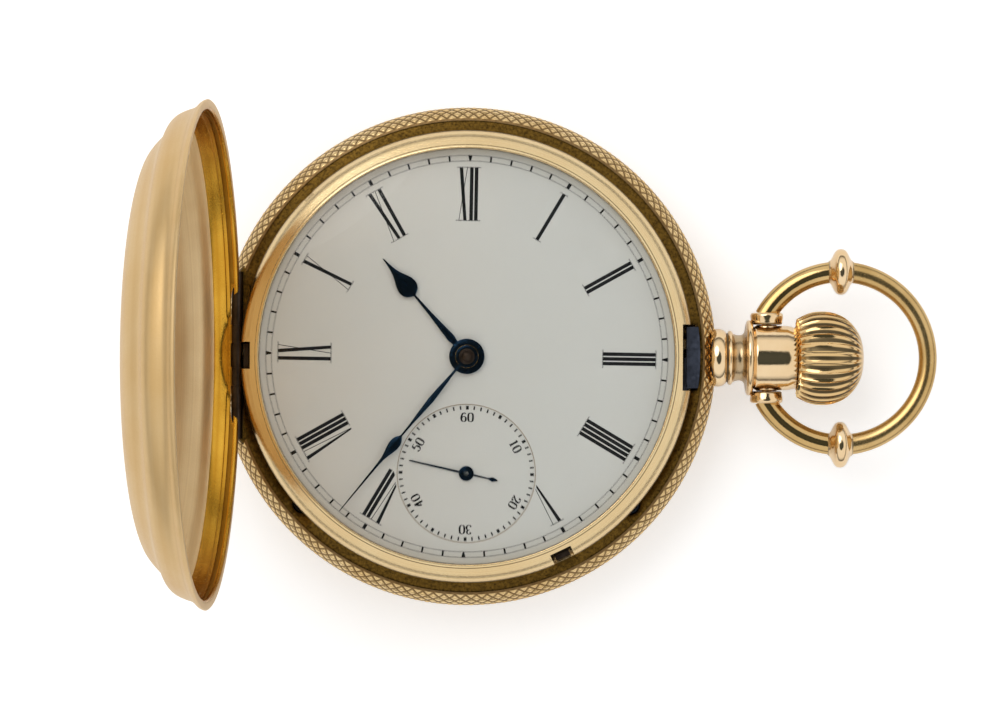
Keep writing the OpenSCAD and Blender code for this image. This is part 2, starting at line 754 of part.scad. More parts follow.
module seconds_dial() {
    color("whitesmoke") difference() {
        disc(seconds_r, dial_t - seconds_sink, dial_base, fourth_at);
        disc(0.5, dial_t + 2, dial_base - 1, fourth_at);
    }
}

pillar_angles = [40, 160, 220, 320];
jewelled = [third_at, fourth_at, escape_at, pallet_at];

module pillar_plate() {
    color("gainsboro") difference() {
        disc(plate_r, plate_t + motion_h, plate_base);
        // The motion works lie in a recess inside the dial's seat
        disc(ledge_r - 0.2, motion_h + 1, plate_top);
        disc(arbor_r + 0.2 + fit, 9, plate_base - 1);
        for (at = jewelled) disc(jewel_r + 0.01, jewel_t + 1, plate_base - 1, at);
        disc(jewel_r + 0.01, jewel_t + 1, plate_base - 1, balance_at);
        disc(0.35, 9, plate_base - 1, fourth_at);
        disc(winding_arbor_r + fit, 9, plate_base - 1, barrel_at);
        for (a = foot_angles) disc(foot_r + fit, 9, plate_base + 0.3, polar(foot_at, a));
        for (a = pillar_angles) disc(screw_r + fit, 9, plate_base - 1, polar(pillar_at, a));
        // Room for the winding pinion and for the crown wheel's teeth
        translate([crown_wheel_at + crown_wheel_r - 0.75, -winding_r - 0.45, plate_base - 1])
            cube([9, 2 * winding_r + 0.9, plate_t + 1.2]);
        along_x(stem_r + fit, crown_wheel_at + crown_wheel_r - 2, crown_wheel_at + crown_wheel_r);
        disc(crown_wheel_r + 0.4, 3, plate_top - 0.3, crown_wheel_pos);
        // Slot of the setting lever through the dial's seat
        rotate(setting_angle) translate([lever_in - 1, -slot_w / 2, plate_top])
            cube([9, slot_w, motion_h + 1]);
        for (a = pillar_angles) disc(0.75, 2, plate_top - 0.3, polar(pillar_at, a));
        for (a = case_screw_angles) {
            disc(0.65, 3, plate_top, polar(case_screw_at, a));
            disc(screw_r + fit, 9, plate_base - 1, polar(case_screw_at, a));
        }
        for (at = stud_places) disc(stud_r + 0.01, 9, plate_base + 0.4, at);
    }
    // Studs that the motion works, the winding wheels and the click turn on
    color("silver") for (at = stud_places)
        disc(stud_r, plate_t + motion_h - 0.55, plate_base + 0.42, at);
}

stud_r = 0.46;
stud_places = [minute_pos, transfer_at, crown_wheel_pos, click_at, click_spring_at];
case_screw_angles = [75, 255];
case_screw_at = plate_r - 0.6;

module top_plate() {
    color("gainsboro") difference() {
        disc(top_r, top_t, top_out);
        for (at = concat(jewelled, [[0, 0]]))
            disc(jewel_r + 0.01, jewel_t + 1, train_low - jewel_t, at);
        disc(winding_arbor_r + fit, 9, train_low - 0.5, barrel_at);
        // The roller passes through here
        disc(1.6, 9, top_out - 1, balance_at);
        for (a = pillar_angles) disc(0.6 + fit, 9, top_out - 1, polar(pillar_at, a));
        for (a = pillar_angles) disc(1.1, 1.5, top_out - 1, polar(pillar_at, a));
        disc(screw_r + fit, 1.7, top_out - 1, cock_screw_at);
    }
}

module pillars() {
    color("gainsboro") for (a = pillar_angles) difference() {
        disc(pillar_r, train_h, train_low, polar(pillar_at, a));
        disc(0.6 + fit, 1.6, train_low - 0.1, polar(pillar_at, a));
        disc(screw_r + fit, 1.3, plate_base - 1.2, polar(pillar_at, a));
    }
}

// A slotted screw, head at its low end
module slotted_screw(at, low, head_r, head_h, shank_r, length) {
    difference() {
        union() {
            disc(head_r, head_h, low, at);
            disc(shank_r, length, low, at);
        }
        translate([at[0] - 3, at[1] - 0.11, low - 1]) cube([6, 0.22, 1.2]);
    }
}

module plate_screws() {
    color("steelblue") for (a = pillar_angles) {
        slotted_screw(polar(pillar_at, a), top_out, 1.05, 0.5, 0.6, top_t + 1.4);
        translate([0, 0, plate_top]) mirror([0, 0, 1])
            slotted_screw(polar(pillar_at, a), 0, 0.7, 0.3, screw_r, plate_t + 1.1);
    }
}

module jewels() {
    color("crimson") {
        for (at = jewelled) {
            ring(jewel_r, at == fourth_at ? 0.29 : pivot_r + 0.03, jewel_t, plate_base, at);
            ring(jewel_r, pivot_r + 0.03, jewel_t, train_low - jewel_t, at);
        }
        ring(jewel_r, pivot_r + 0.03, jewel_t, train_low - jewel_t);
        ring(jewel_r, pivot_r + 0.03, jewel_t, plate_base, balance_at);
        ring(jewel_r, pivot_r + 0.03, jewel_t, cock_in - jewel_t, balance_at);
    }
}

balance_out = bearing([0, 0], balance_at);
cock_foot_in = norm(balance_at) + balance_r - 0.3;
cock_foot_out = top_r - 1.2;
cock_screw_at = polar((norm(balance_at) + balance_r + 0.7 + cock_foot_out) / 2, balance_out - 12);
hair_angle = balance_out + 20;
hair_out = 4.38;

module balance_cock() {
    reach = norm(balance_at);
    color("gainsboro") {
        difference() {
            union() {
                // Arm from the foot over the balance, drawn in towards its round end
                linear_extrude_at(cock_out, cock_t) union() {
                    polygon([polar(reach, balance_out) + polar(2.1, balance_out + 90),
                        polar(reach, balance_out) + polar(2.1, balance_out - 90),
                        polar(cock_foot_out - 0.6, balance_out - 20),
                        polar(cock_foot_out, balance_out - 9),
                        polar(cock_foot_out, balance_out + 9),
                        polar(cock_foot_out - 0.6, balance_out + 20)]);
                    translate(balance_at) circle(r = 2.1);
                }
                // Foot standing on the top plate outside the balance
                intersection() {
                    ring(cock_foot_out, cock_foot_in, top_out - cock_out, cock_out);
                    linear_extrude_at(cock_out, top_out - cock_out) polygon([[0, 0],
                        polar(40, balance_out - 20), polar(40, balance_out + 20)]);
                }
                // Boss that the regulator turns on
                disc(0.66, 0.5, cock_out - 0.35, balance_at);
            }
            // The rim turns clear of the foot
            disc(balance_r + 0.95, 9, cock_in, balance_at);
            disc(jewel_r + 0.01, jewel_t + 1, cock_in - jewel_t, balance_at);
            disc(pivot_r + 0.1, 9, cock_out - 1, balance_at);
            disc(screw_r + fit, 9, cock_out - 1, cock_screw_at);
            disc(0.7, 1.3, cock_out - 1, cock_screw_at);
        }
        // Stud of the hairspring
        disc(0.3, 0.6, cock_in - 0.15, balance_at + polar(hair_out + 0.36, hair_angle));
    }
}

module linear_extrude_at(z, h) {
    translate([0, 0, z]) linear_extrude(height = h) children();
}

module cock_screw() {
    color("steelblue")
        slotted_screw(cock_screw_at, cock_out, 0.65, 0.3, screw_r,
            top_out + top_t - 0.6 - cock_out);
}

// A flat spiral strip
module spiral(r_in, r_out, turns, strip, steps) {
    count = turns * steps;
    function at(i, off) = polar(r_in + (r_out - r_in) * i / count + off, i * 360 / steps);
    polygon(concat([for (i = [0 : count]) at(i, strip / 2)],
        [for (i = [count : -1 : 0]) at(i, -strip / 2)]));
}

module hairspring() {
    color("steelblue") linear_extrude_at(cock_in + 0.15, 0.2) translate(balance_at)
        rotate(hair_angle) spiral(1.05, hair_out, 9, 0.06, 20);
}

// The pins end inside the outermost knuckles
pin_half = barrel_half - 0.7;

module front_hinge_pin() {
    color("dimgray") along_y(pin_r, hinge_x, hinge_z, -pin_half, pin_half);
}

module back_hinge_pin() {
    color("dimgray") along_y(pin_r, hinge_x, low_hinge_z, -pin_half, pin_half);
}

module cuvette_hinge_pin() {
    color("dimgray")
        along_y(small_pin_r, small_hinge_x, small_hinge_z, -small_barrel_half, small_barrel_half);
}

module case_screws() {
    color("steelblue") for (a = case_screw_angles)
        translate([0, 0, plate_top + 0.4]) mirror([0, 0, 1])
            slotted_screw(polar(case_screw_at, a), 0, 0.6, 0.4, screw_r, plate_t + 1.6);
}

module spring_screw() {
    rotate(strip_angle) translate([0, 0, axis_z + 1.5]) mirror([0, 0, 1])
        slotted_screw([strip_mid, 0], 0, 0.75, 0.45, screw_r, 2.6);
}

module spring_screws() {
    color("steelblue") {
        mirror([0, 1, 0]) spring_screw();
        rotate(lift_turn) spring_screw();
    }
}

// Headless studs, screwed into the bosses: the eyes stand a running gap off the bosses
eye_in = pendant_r + 0.2 + 0.05;

module bow_studs() {
    color("steelblue") for (side = [0, 1]) mirror([0, side, 0])
        along_y(bow_stud_r, bow_x, axis_z, eye_in - bow_stud_depth, eye_in + eye_t - 0.3);
}

// Sixteen points of an oval section
function oval(w, h) = [for (i = [0 : 15]) [w / 2 * cos(i * 22.5), h / 2 * sin(i * 22.5)]];
bow_end = eye_in + eye_t / 2;
bow_open = asin(bow_end / bow_r);

module bow() {
    color("goldenrod") difference() {
        union() {
            translate([bow_mid, 0, axis_z]) rotate(bow_open - 180)
                rotate_extrude(angle = 360 - 2 * bow_open)
                    translate([bow_r, 0]) polygon(oval(bow_w, bow_t));
            for (side = [0, 1]) mirror([0, side, 0]) {
                along_y(eye_r, bow_x, axis_z, eye_in, eye_in + eye_t);
                // Bead with its two little collars
                translate([bow_mid, bow_r, axis_z]) rotate([0, 90, 0]) rotate_extrude()
                    polygon([[0, -bead_w / 2 - 0.5], [1.35, -bead_w / 2 - 0.5],
                        [1.5, -bead_w / 2 - 0.1], [bead_r - 0.45, -bead_w / 2],
                        [bead_r, -bead_w / 4], [bead_r, bead_w / 4],
                        [bead_r - 0.45, bead_w / 2], [1.5, bead_w / 2 + 0.1],
                        [1.35, bead_w / 2 + 0.5], [0, bead_w / 2 + 0.5]]);
            }
        }
        for (side = [0, 1]) mirror([0, side, 0]) {
            along_y(bow_stud_r + fit, bow_x, axis_z, eye_in - 1, eye_in + eye_t - 0.25);
            // The bar's end is dressed flush with the eye's inner face
            along_y(eye_r + 1.2, bow_x, axis_z, eye_in - 3, eye_in);
        }
    }
}

// The crown's meridian is one arc about crown_mid, from the skirt to near the tip
crown_arc = (pow(crown_tip - crown_mid, 2) + crown_r * crown_r) / (2 * crown_r);
crown_from = -asin((crown_mid - crown_start) / crown_arc);
crown_to = acos((0.3 - crown_r + crown_arc) / crown_arc);
crown_rings = 11;
function crown_point(a) = [crown_mid + crown_arc * sin(a), crown_r - crown_arc + crown_arc * cos(a)];

// Four points to a rib: crest, flank, flute, flank. Flutes grow shallow at the skirt and tip
function rib_cut(i, k, r) = [0, 0.55, 1, 0.55][i % 4] * min(flute_depth, r * 0.1, 0.12 + 0.11 * k);
function crown_ring(k) =
    let (p = crown_point(crown_from + (crown_to - crown_from) * k / crown_rings))
    [for (i = [0 : 4 * ribs - 1])
        let (r = p[1] - rib_cut(i, k, p[1]))
        [p[0], r * cos(i * 90 / ribs), r * sin(i * 90 / ribs)]];

module crown_body() {
    n = 4 * ribs;
    points = [for (k = [0 : crown_rings]) each crown_ring(k)];
    sides = [for (k = [0 : crown_rings - 1]) for (i = [0 : n - 1]) for (t = [0, 1])
        let (a = k * n + i, b = k * n + (i + 1) % n)
        t == 0 ? [a, b, b + n] : [a, b + n, a + n]];
    polyhedron(points = points, faces = concat(sides,
        [[for (i = [n - 1 : -1 : 0]) i]], [[for (i = [0 : n - 1]) crown_rings * n + i]]));
}

module crown() {
    color("goldenrod") translate([0, 0, axis_z]) difference() {
        crown_body();
        // Hollow that slides over the pendant
        translate([crown_start - 1, 0, 0]) rotate([0, 90, 0])
            cylinder(r = pendant_r + skirt_gap, h = pendant_end - crown_start + 1 + press + 0.3);
        // Threaded hole of the stem
        translate([crown_start, 0, 0]) rotate([0, 90, 0])
            cylinder(r = stem_r + 0.01, h = crown_mid + 2.2 - crown_start);
    }
}

module winding_stem() {
    pinion_x = crown_wheel_at + crown_wheel_r - 0.5;
    // The round part stays clear of the pinion when the crown is pressed home
    round_at = pinion_x + winding_len + press + 0.15;
    square_at = pinion_x - 0.7;
    color("silver") {
        along_x(stem_r, round_at, crown_mid + 2);
        // Square that drives the winding pinion
        translate([square_at, -stem_square / 2, axis_z - stem_square / 2])
            cube([round_at + 0.2 - square_at, stem_square, stem_square]);
        // Shoulder that presses the lock spring
        along_x(shoulder_r, edge_r - 1.05, edge_r - 0.8);
    }
}

module winding_pinion() {
    start = crown_wheel_at + crown_wheel_r - 0.5;
    color("silver") translate([start, 0, axis_z]) rotate([0, 90, 0]) difference() {
        union() {
            linear_extrude(height = 0.75)
                polygon(tooth_outline(winding_leaves, winding_m, 180 / winding_leaves));
            cylinder(r = winding_r - 0.3, h = winding_len);
        }
        translate([-stem_square / 2 - fit, -stem_square / 2 - fit, -1])
            cube([stem_square + 2 * fit, stem_square + 2 * fit, winding_len + 2]);
    }
}

winding_z = plate_top + 0.2;
face_h = 0.42;
crown_phase = 0;
transfer_phase = mesh_phase(crown_wheel_pos, transfer_at, crown_teeth, crown_phase, transfer_teeth);
ratchet_phase = mesh_phase(transfer_at, barrel_at, transfer_teeth, transfer_phase, ratchet_teeth);

module crown_wheel() {
    color("silver") {
        toothed(crown_teeth, winding_m, 0.3, winding_z, crown_wheel_pos, crown_phase, 0.5);
        // Face teeth, standing down into the winding pinion
        difference() {
            toothed(crown_teeth, winding_m, face_h + 0.1, winding_z - face_h, crown_wheel_pos,
                crown_phase, crown_wheel_r - 0.5);
            disc(crown_wheel_r - 0.27, face_h + 0.05, winding_z - face_h - 0.05, crown_wheel_pos);
        }
    }
}

module transfer_wheel() {
    color("silver")
        toothed(transfer_teeth, winding_m, 0.3, winding_z, transfer_at, transfer_phase, 0.5);
}

module ratchet_wheel() {
    color("silver") difference() {
        toothed(ratchet_teeth, winding_m, 0.3, winding_z, barrel_at, ratchet_phase, 0.3);
        translate([barrel_at[0] - 0.52, barrel_at[1] - 0.52, winding_z - 1]) cube([1.04, 1.04, 3]);
    }
}

module barrel_arbor() {
    color("silver") {
        disc(winding_arbor_r, plate_top - train_low + 0.35, train_low - 0.35, barrel_at);
        // Core that the mainspring hooks on
        disc(1.5, barrel_h - 2 * 0.45, barrel_z + 0.45, barrel_at);
        translate([barrel_at[0] - 0.5, barrel_at[1] - 0.5, plate_top - 0.1])
            cube([1, 1, 0.7]);
    }
}

barrel_phase = 0;
drum_r = barrel_m * (barrel_teeth / 2 - 1.1) - 0.25;

module mainspring_barrel() {
    color("khaki") difference() {
        union() {
            disc(drum_r, barrel_h, barrel_z, barrel_at);
            toothed(barrel_teeth, barrel_m, barrel_tooth_h, barrel_tooth_z, barrel_at,
                barrel_phase, 1);
        }
        disc(drum_r - 0.4, barrel_h, barrel_z - 0.4, barrel_at);
        disc(winding_arbor_r + fit, 9, barrel_z - 1, barrel_at);
    }
}

module barrel_cover() {
    color("khaki") ring(drum_r - 0.42, winding_arbor_r + fit, 0.35, barrel_z, barrel_at);
}

module mainspring() {
    color("slategray") linear_extrude_at(barrel_z + 0.45, barrel_h - 0.9) translate(barrel_at)
        spiral(1.62 + spring_t / 2, drum_r - 0.46 - spring_t / 2, spring_turns, spring_t, 20);
}

centre_phase = 0;
centre_pinion_phase = mesh_phase(barrel_at, [0, 0], barrel_teeth, barrel_phase, centre_leaves);
third_pinion_phase = mesh_phase([0, 0], third_at, centre_teeth, centre_phase, third_leaves);
fourth_pinion_phase = mesh_phase(third_at, fourth_at, third_teeth, 0, fourth_leaves);
escape_pinion_phase = mesh_phase(fourth_at, escape_at, fourth_teeth, 0, escape_leaves);

module centre_wheel() {
    color("khaki") train_wheel(centre_teeth, centre_m, wheel_t, centre_wheel_z, [0, 0],
        centre_phase, arbor_r + 0.21, 5);
}

module centre_pinion() {
    color("silver") {
        toothed(centre_leaves, barrel_m, barrel_tooth_z + barrel_tooth_h - centre_wheel_z - wheel_t,
            centre_wheel_z + wheel_t, [0, 0], centre_pinion_phase, arbor_r);
        disc(arbor_r + 0.2, hand_z + 0.7 - centre_wheel_z, centre_wheel_z);
        disc(pivot_r, 1.5, train_low - jewel_t + 0.02);
        disc(arbor_r, 0.3, train_low + 0.02);
    }
}

module cannon_pinion() {
    color("silver") {
        toothed(cannon_leaves, motion_m, 0.4, motion_z, [0, 0], cannon_phase, arbor_r + 0.21);
        ring(0.85, arbor_r + 0.21, hand_z + 0.55 - motion_z, motion_z);
    }
}

cannon_phase = 0;
minute_phase = mesh_phase([0, 0], minute_pos, cannon_leaves, cannon_phase, minute_teeth);
hour_phase = mesh_phase(minute_pos, [0, 0], minute_leaves, 0, hour_teeth);

module minute_wheel() {
    color("khaki") {
        toothed(minute_teeth, motion_m, 0.22, motion_z + 0.1, minute_pos, minute_phase, 0.5);
        toothed(minute_leaves, hour_m, 0.5, motion_z + 0.3, minute_pos, 0, 0.5);
    }
}

module hour_wheel() {
    color("khaki") {
        toothed(hour_teeth, hour_m, 0.25, hour_wheel_z, [0, 0], hour_phase, 0.9);
        ring(1.25, 0.9, hand_z + 0.2 - hour_wheel_z, hour_wheel_z);
    }
}

// A hand from half widths at distances along it, drawn along +X
module hand_blade(stations) {
    polygon(concat([for (s = stations) [s[0], s[1]]],
        [for (i = [len(stations) - 1 : -1 : 0]) [stations[i][0], -stations[i][1]]]));
}

// A pear: half widths of a bulb around its middle, from the narrow stem before it
function pear(mid, half_len, half_w, steps) = [for (i = [0 : steps])
    let (u = -1 + 2 * i / steps)
    [mid + half_len * u, half_w * sqrt(max(0, 1 - u * u * u * u)) * (1 - 0.18 * u) + 0.12]];

module hour_hand() {
    stations = concat([[1.2, 0.75], [2.2, 0.62], [3.6, 0.62],
        [hour_bulb - hour_bulb_half - 0.1, 0.2]], pear(hour_bulb, hour_bulb_half, 0.93, 10),
        [[hour_bulb + hour_bulb_half + 0.4, 0.34], [hour_len - 0.3, 0.08], [hour_len, 0.03]]);
    color("midnightblue") difference() {
        union() {
            linear_extrude_at(hand_z, hand_t) rotate(90 - hour_at) hand_blade(stations);
            disc(1.9, hand_t, hand_z);
        }
        disc(1.26, 2, hand_z - 1);
    }
}

module minute_hand() {
    stations = concat([[0.9, 0.55], [2.5, 0.3], [6.06, 0.38],
        [minute_bulb - minute_bulb_half - 1.54, 0.14]],
        pear(minute_bulb, minute_bulb_half, 0.6, 10),
        [[minute_bulb + minute_bulb_half + 0.4, 0.2], [minute_len - 0.3, 0.05],
        [minute_len, 0.03]]);
    color("midnightblue") difference() {
        union() {
            linear_extrude_at(hand_z + 0.35, hand_t) rotate(90 - minute_at) hand_blade(stations);
            disc(1.2, hand_t, hand_z + 0.35);
        }
        disc(0.86, 2, hand_z - 1);
    }
}

module seconds_hand() {
    z = dial_top - seconds_sink + 0.12;
    stations = [[-second_tail, 0.05], [-3.05, 0.2], [-2.9, 0.24], [-2.75, 0.2], [-2.4, 0.07],
        [-0.6, 0.1], [0, 0.12], [0.6, 0.1], [second_len - 0.2, 0.05], [second_len, 0.03]];
    color("midnightblue") difference() {
        union() {
            linear_extrude_at(z, 0.1) translate(fourth_at) rotate(90 - second_at)
                hand_blade(stations);
            disc(0.8, 0.1, z, fourth_at);
            disc(0.45, 0.28, z, fourth_at);
        }
        disc(0.25 + 0.01, 0.2, z - 0.05, fourth_at);
    }
}

module third_wheel() {
    color("khaki") train_wheel(third_teeth, third_m, wheel_t, third_wheel_z, third_at, 0,
        arbor_r + 0.01, 5);
}

module third_pinion() {
    color("silver") arbor(third_at, third_leaves, centre_m, train_low + 0.12, 0.75,
        third_pinion_phase, train_low - jewel_t + 0.02, plate_base + jewel_t - 0.02);
}

module fourth_wheel() {
    color("khaki") train_wheel(fourth_teeth, fourth_m, wheel_t, fourth_wheel_z, fourth_at, 0,
        arbor_r + 0.01, 5);
}

module fourth_pinion() {
    color("silver") {
        toothed(fourth_leaves, third_m, 0.7, third_wheel_z - 0.25, fourth_at, fourth_pinion_phase,
            arbor_r - 0.05);
        disc(arbor_r, train_h - 0.04, train_low + 0.02, fourth_at);
        disc(pivot_r, 1, train_low - jewel_t + 0.02, fourth_at);
        // Long pivot through the dial for the seconds hand
        disc(0.25, dial_top - seconds_sink + 0.3 - plate_base, plate_base - 0.1, fourth_at);
    }
}

// Club teeth leaning forward on a thin rim
function escape_tooth(i) = let (a = i * 360 / escape_teeth)
    [polar(escape_r - 0.85, a - 4), polar(escape_r - 0.1, a + 1.5), polar(escape_r, a + 3.5),
     polar(escape_r - 0.12, a + 4.6), polar(escape_r - 0.85, a + 6)];

module escape_wheel() {
    color("khaki") difference() {
        linear_extrude_at(escape_wheel_z, wheel_t) translate(escape_at)
            polygon([for (i = [0 : escape_teeth - 1]) each escape_tooth(i)]);
        disc(arbor_r + 0.01, 9, escape_wheel_z - 1, escape_at);
        translate([escape_at[0], escape_at[1], escape_wheel_z - 1])
            for (i = [0 : 3]) rotate(i * 90 + 20) rotate_extrude(angle = 70)
                translate([0.9, 0]) square([escape_r - 2.2, 3]);
    }
}

module escape_pinion() {
    color("silver") arbor(escape_at, escape_leaves, fourth_m, fourth_wheel_z - 0.2, 0.6,
        escape_pinion_phase, train_low - jewel_t + 0.02, plate_base + jewel_t - 0.02);
}

lever_z = escape_wheel_z - 0.38;

module pallet_lever() {
    // Drawn along +X from the pallet arbor towards the balance
    color("silver") {
        translate([pallet_at[0], pallet_at[1], lever_z]) rotate(balance_angle)
            linear_extrude(height = 0.3) polygon([[-0.45, -1.1], [-1.0, -2.3], [-0.55, -2.5],
                [0.35, -1.0], [1.2, -0.32], [2.3, -0.28], [2.75, -0.6], [3.05, -0.6],
                [2.75, -0.25], [2.75, 0.25], [3.05, 0.6], [2.75, 0.6], [2.3, 0.28],
                [1.2, 0.32], [0.35, 1.0], [-0.55, 2.5], [-1.0, 2.3], [-0.45, 1.1]]);
        disc(arbor_r, train_h - 0.1, train_low + 0.05, pallet_at);
        disc(pivot_r, train_h + 2 * jewel_t - 0.04, train_low - jewel_t + 0.02, pallet_at);
    }
    // Ruby stones over the escape wheel's teeth, standing on the lever's arms
    color("crimson") translate([pallet_at[0], pallet_at[1], lever_z + 0.3])
        rotate(balance_angle) for (side = [-1, 1]) translate([-pallet_d, 0, 0])
            rotate(side * 30) translate([escape_r + 0.24, -0.15, 0]) cube([0.35, 0.3, 0.28]);
}

balance_z = cock_in + 0.45;

// A bimetallic rim, cut beside the ends of its one straight arm
module balance_wheel() {
    color("khaki") translate([balance_at[0], balance_at[1], 0]) difference() {
        union() {
            ring(balance_r, balance_r - 0.6, 0.8, balance_z - 0.2);
            disc(1.1, 0.3, balance_z + 0.05);
            translate([0.3 - balance_r, -0.45, balance_z + 0.05])
                cube([2 * balance_r - 0.6, 0.9, 0.3]);
        }
        disc(0.45 + 0.01, 9, balance_z - 1);
        for (i = [0, 1]) rotate(i * 180 + 8)
            translate([balance_r - 1, -0.15, balance_z - 2]) cube([2, 0.3, 4]);
    }
}

module balance_staff() {
    roller_z = escape_wheel_z + 0.4;
    color("silver") {
        disc(0.45, plate_base - cock_in - 0.2, cock_in + 0.1, balance_at);
        disc(pivot_r, plate_base + 2 * jewel_t - cock_in - 0.04, cock_in - jewel_t + 0.02,
            balance_at);
        // Collet of the hairspring, and the roller with its pin
        disc(0.9, 0.22, cock_in + 0.14, balance_at);
        disc(1.25, 0.25, roller_z, balance_at);
        disc(0.13, 0.45, roller_z - 0.4, balance_at + polar(0.95, balance_angle + 180));
    }
}

module balance_screws() {
    color("khaki") for (i = [0 : balance_screw_count - 1])
        translate([balance_at[0], balance_at[1], balance_z + 0.2])
            rotate((i + 0.5) * 360 / balance_screw_count) translate([balance_r + 0.01, 0, 0])
                rotate([0, 90, 0]) cylinder(r = 0.33, h = 0.6);
}

module regulator() {
    z = cock_out - 0.37;
    tip = balance_at + polar(6.6, balance_out + 24);
    color("silver") difference() {
        union() {
            disc(1.7, 0.35, z, balance_at);
            linear_extrude_at(z, 0.35) polygon([balance_at + polar(1.0, balance_out + 100),
                balance_at + polar(1.0, balance_out - 52), tip + polar(0.12, balance_out - 66),
                tip + polar(0.12, balance_out + 114)]);
        }
        disc(0.7, 2, z - 1, balance_at);
    }
    // Tip of the index
    color("silver") disc(0.25, 0.35, z, tip);
}

lever_out = bezel_r - 0.35;
lever_in = lever_out - 8;
lever_half = slot_w / 2 - 0.4;

module setting_lever() {
    color("silver") rotate(setting_angle) difference() {
        union() {
            translate([lever_in, -lever_half, plate_top + 0.25])
                cube([lever_out - lever_in, 2 * lever_half, 0.5]);
            // Nail lip at the outer end
            translate([lever_out - 0.5, -lever_half, plate_top + 0.25])
                cube([0.5, 2 * lever_half, 0.7]);
        }
        disc(0.3, 3, plate_top - 1, [lever_in + 1, 0]);
    }
}

module spring_strip(turn) {
    rotate(turn) difference() {
        union() {
            translate([0, 0, axis_z + 0.4]) rotate_extrude(angle = strip_angle)
                translate([strip_in, 0]) square([strip_out - strip_in, 1.1]);
            rotate(strip_angle) disc(0.95, 0.6, axis_z + 0.4, [strip_mid, 0]);
        }
        rotate(strip_angle) {
            disc(screw_r + 0.05, 3, axis_z - 1, [strip_mid, 0]);
            disc(0.97, 2, axis_z + 1.0, [strip_mid, 0]);
        }
    }
}

module lock_spring() {
    rim_z = band_top + rim_gap;
    color("midnightblue") difference() {
        union() {
            mirror([0, 1, 0]) spring_strip(0);
            intersection() {
                translate([strip_in + 0.2, -head_half, axis_z + 0.4])
                    cube([5, 2 * head_half, rim_z + 0.95 - axis_z - 0.4]);
                union() {
                    disc(edge_r - 1.35, 30, 0);
                    // Lip that enters the cover's snap recess
                    disc(rim_r - 0.9, 0.24, rim_z + 0.63);
                }
            }
        }
        along_x(stem_r + 0.12, collar_r - 3, case_r + 3);
    }
}

module lift_spring() {
    nose_x = small_hinge_x - 0.5;
    color("dimgray") union() {
        spring_strip(lift_turn);
        translate([nose_x, -mid_knuckle, axis_z + 0.4]) cube([0.5, 2 * mid_knuckle, 2.2]);
    }
}

module click() {
    rim = ratchet_teeth * winding_m / 2 + winding_m + 0.06;
    nose = barrel_at + polar(rim, click_angle - 24);
    color("silver") difference() {
        union() {
            disc(0.9, 0.3, winding_z, click_at);
            linear_extrude_at(winding_z, 0.3) polygon([click_at + polar(0.85, click_angle - 50),
                click_at + polar(0.85, click_angle + 60), nose, nose + polar(0.5, click_angle - 20)]);
        }
        disc(stud_r + fit, 3, winding_z - 1, click_at);
    }
}

// A strip bent round the ratchet, from its own stud to the back of the click
module click_spring() {
    color("steelblue") difference() {
        union() {
            disc(0.75, 0.25, winding_z, click_spring_at);
            translate([barrel_at[0], barrel_at[1], winding_z]) rotate(click_angle - 38)
                rotate_extrude(angle = 40) translate([click_spring_r - 0.1, 0]) square([0.2, 0.25]);
        }
        disc(stud_r + 0.01, 3, winding_z - 1, click_spring_at);
    }
}

case_center();
pendant();
bezel();
crystal();
dial();
seconds_dial();
pillar_plate();
top_plate();
pillars();
plate_screws();
jewels();
balance_cock();
cock_screw();
hairspring();
front_hinge_pin();
back_hinge_pin();
cuvette_hinge_pin();
case_screws();
spring_screws();
bow_studs();
front_cover();
back_cover();
cuvette();
bow();
crown();
winding_stem();
winding_pinion();
crown_wheel();
transfer_wheel();
ratchet_wheel();
barrel_arbor();
mainspring_barrel();
barrel_cover();
mainspring();
centre_wheel();
centre_pinion();
cannon_pinion();
minute_hand();
third_wheel();
third_pinion();
fourth_wheel();
fourth_pinion();
seconds_hand();
escape_wheel();
escape_pinion();
minute_wheel();
hour_wheel();
hour_hand();
pallet_lever();
balance_wheel();
balance_staff();
balance_screws();
regulator();
setting_lever();
lock_spring();
lift_spring();
click();
click_spring();
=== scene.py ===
"""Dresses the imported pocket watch: its gold case, glass, enamel dial, blued hands and movement."""

import json
from math import radians

import bmesh
import bpy
import numpy as np
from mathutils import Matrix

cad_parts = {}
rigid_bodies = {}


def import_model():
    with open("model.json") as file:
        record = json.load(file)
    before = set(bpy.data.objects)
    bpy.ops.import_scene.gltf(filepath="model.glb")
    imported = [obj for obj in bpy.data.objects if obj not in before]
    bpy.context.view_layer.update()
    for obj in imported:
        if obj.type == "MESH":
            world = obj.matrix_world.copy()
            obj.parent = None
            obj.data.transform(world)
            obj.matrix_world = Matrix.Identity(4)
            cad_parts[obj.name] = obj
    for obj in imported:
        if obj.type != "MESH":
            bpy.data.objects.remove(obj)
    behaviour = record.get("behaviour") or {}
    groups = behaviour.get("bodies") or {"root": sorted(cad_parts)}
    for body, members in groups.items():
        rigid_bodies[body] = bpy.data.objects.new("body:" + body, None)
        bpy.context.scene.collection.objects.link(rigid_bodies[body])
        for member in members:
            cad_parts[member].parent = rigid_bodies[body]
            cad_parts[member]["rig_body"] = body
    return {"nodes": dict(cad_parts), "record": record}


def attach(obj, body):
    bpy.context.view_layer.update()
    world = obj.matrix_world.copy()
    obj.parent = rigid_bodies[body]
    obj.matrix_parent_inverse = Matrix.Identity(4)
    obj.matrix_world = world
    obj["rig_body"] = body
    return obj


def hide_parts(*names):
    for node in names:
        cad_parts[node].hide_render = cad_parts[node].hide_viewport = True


bl_info = {
    "name": "Full Hunter Pocket Watch",
    "version": (1, 0, 0),
    "blender": (4, 5, 0),
    "location": "View3D > Sidebar > Watch",
    "description": "Builds a gold full hunter watch round its packed frame",
    "category": "Add Mesh",
}

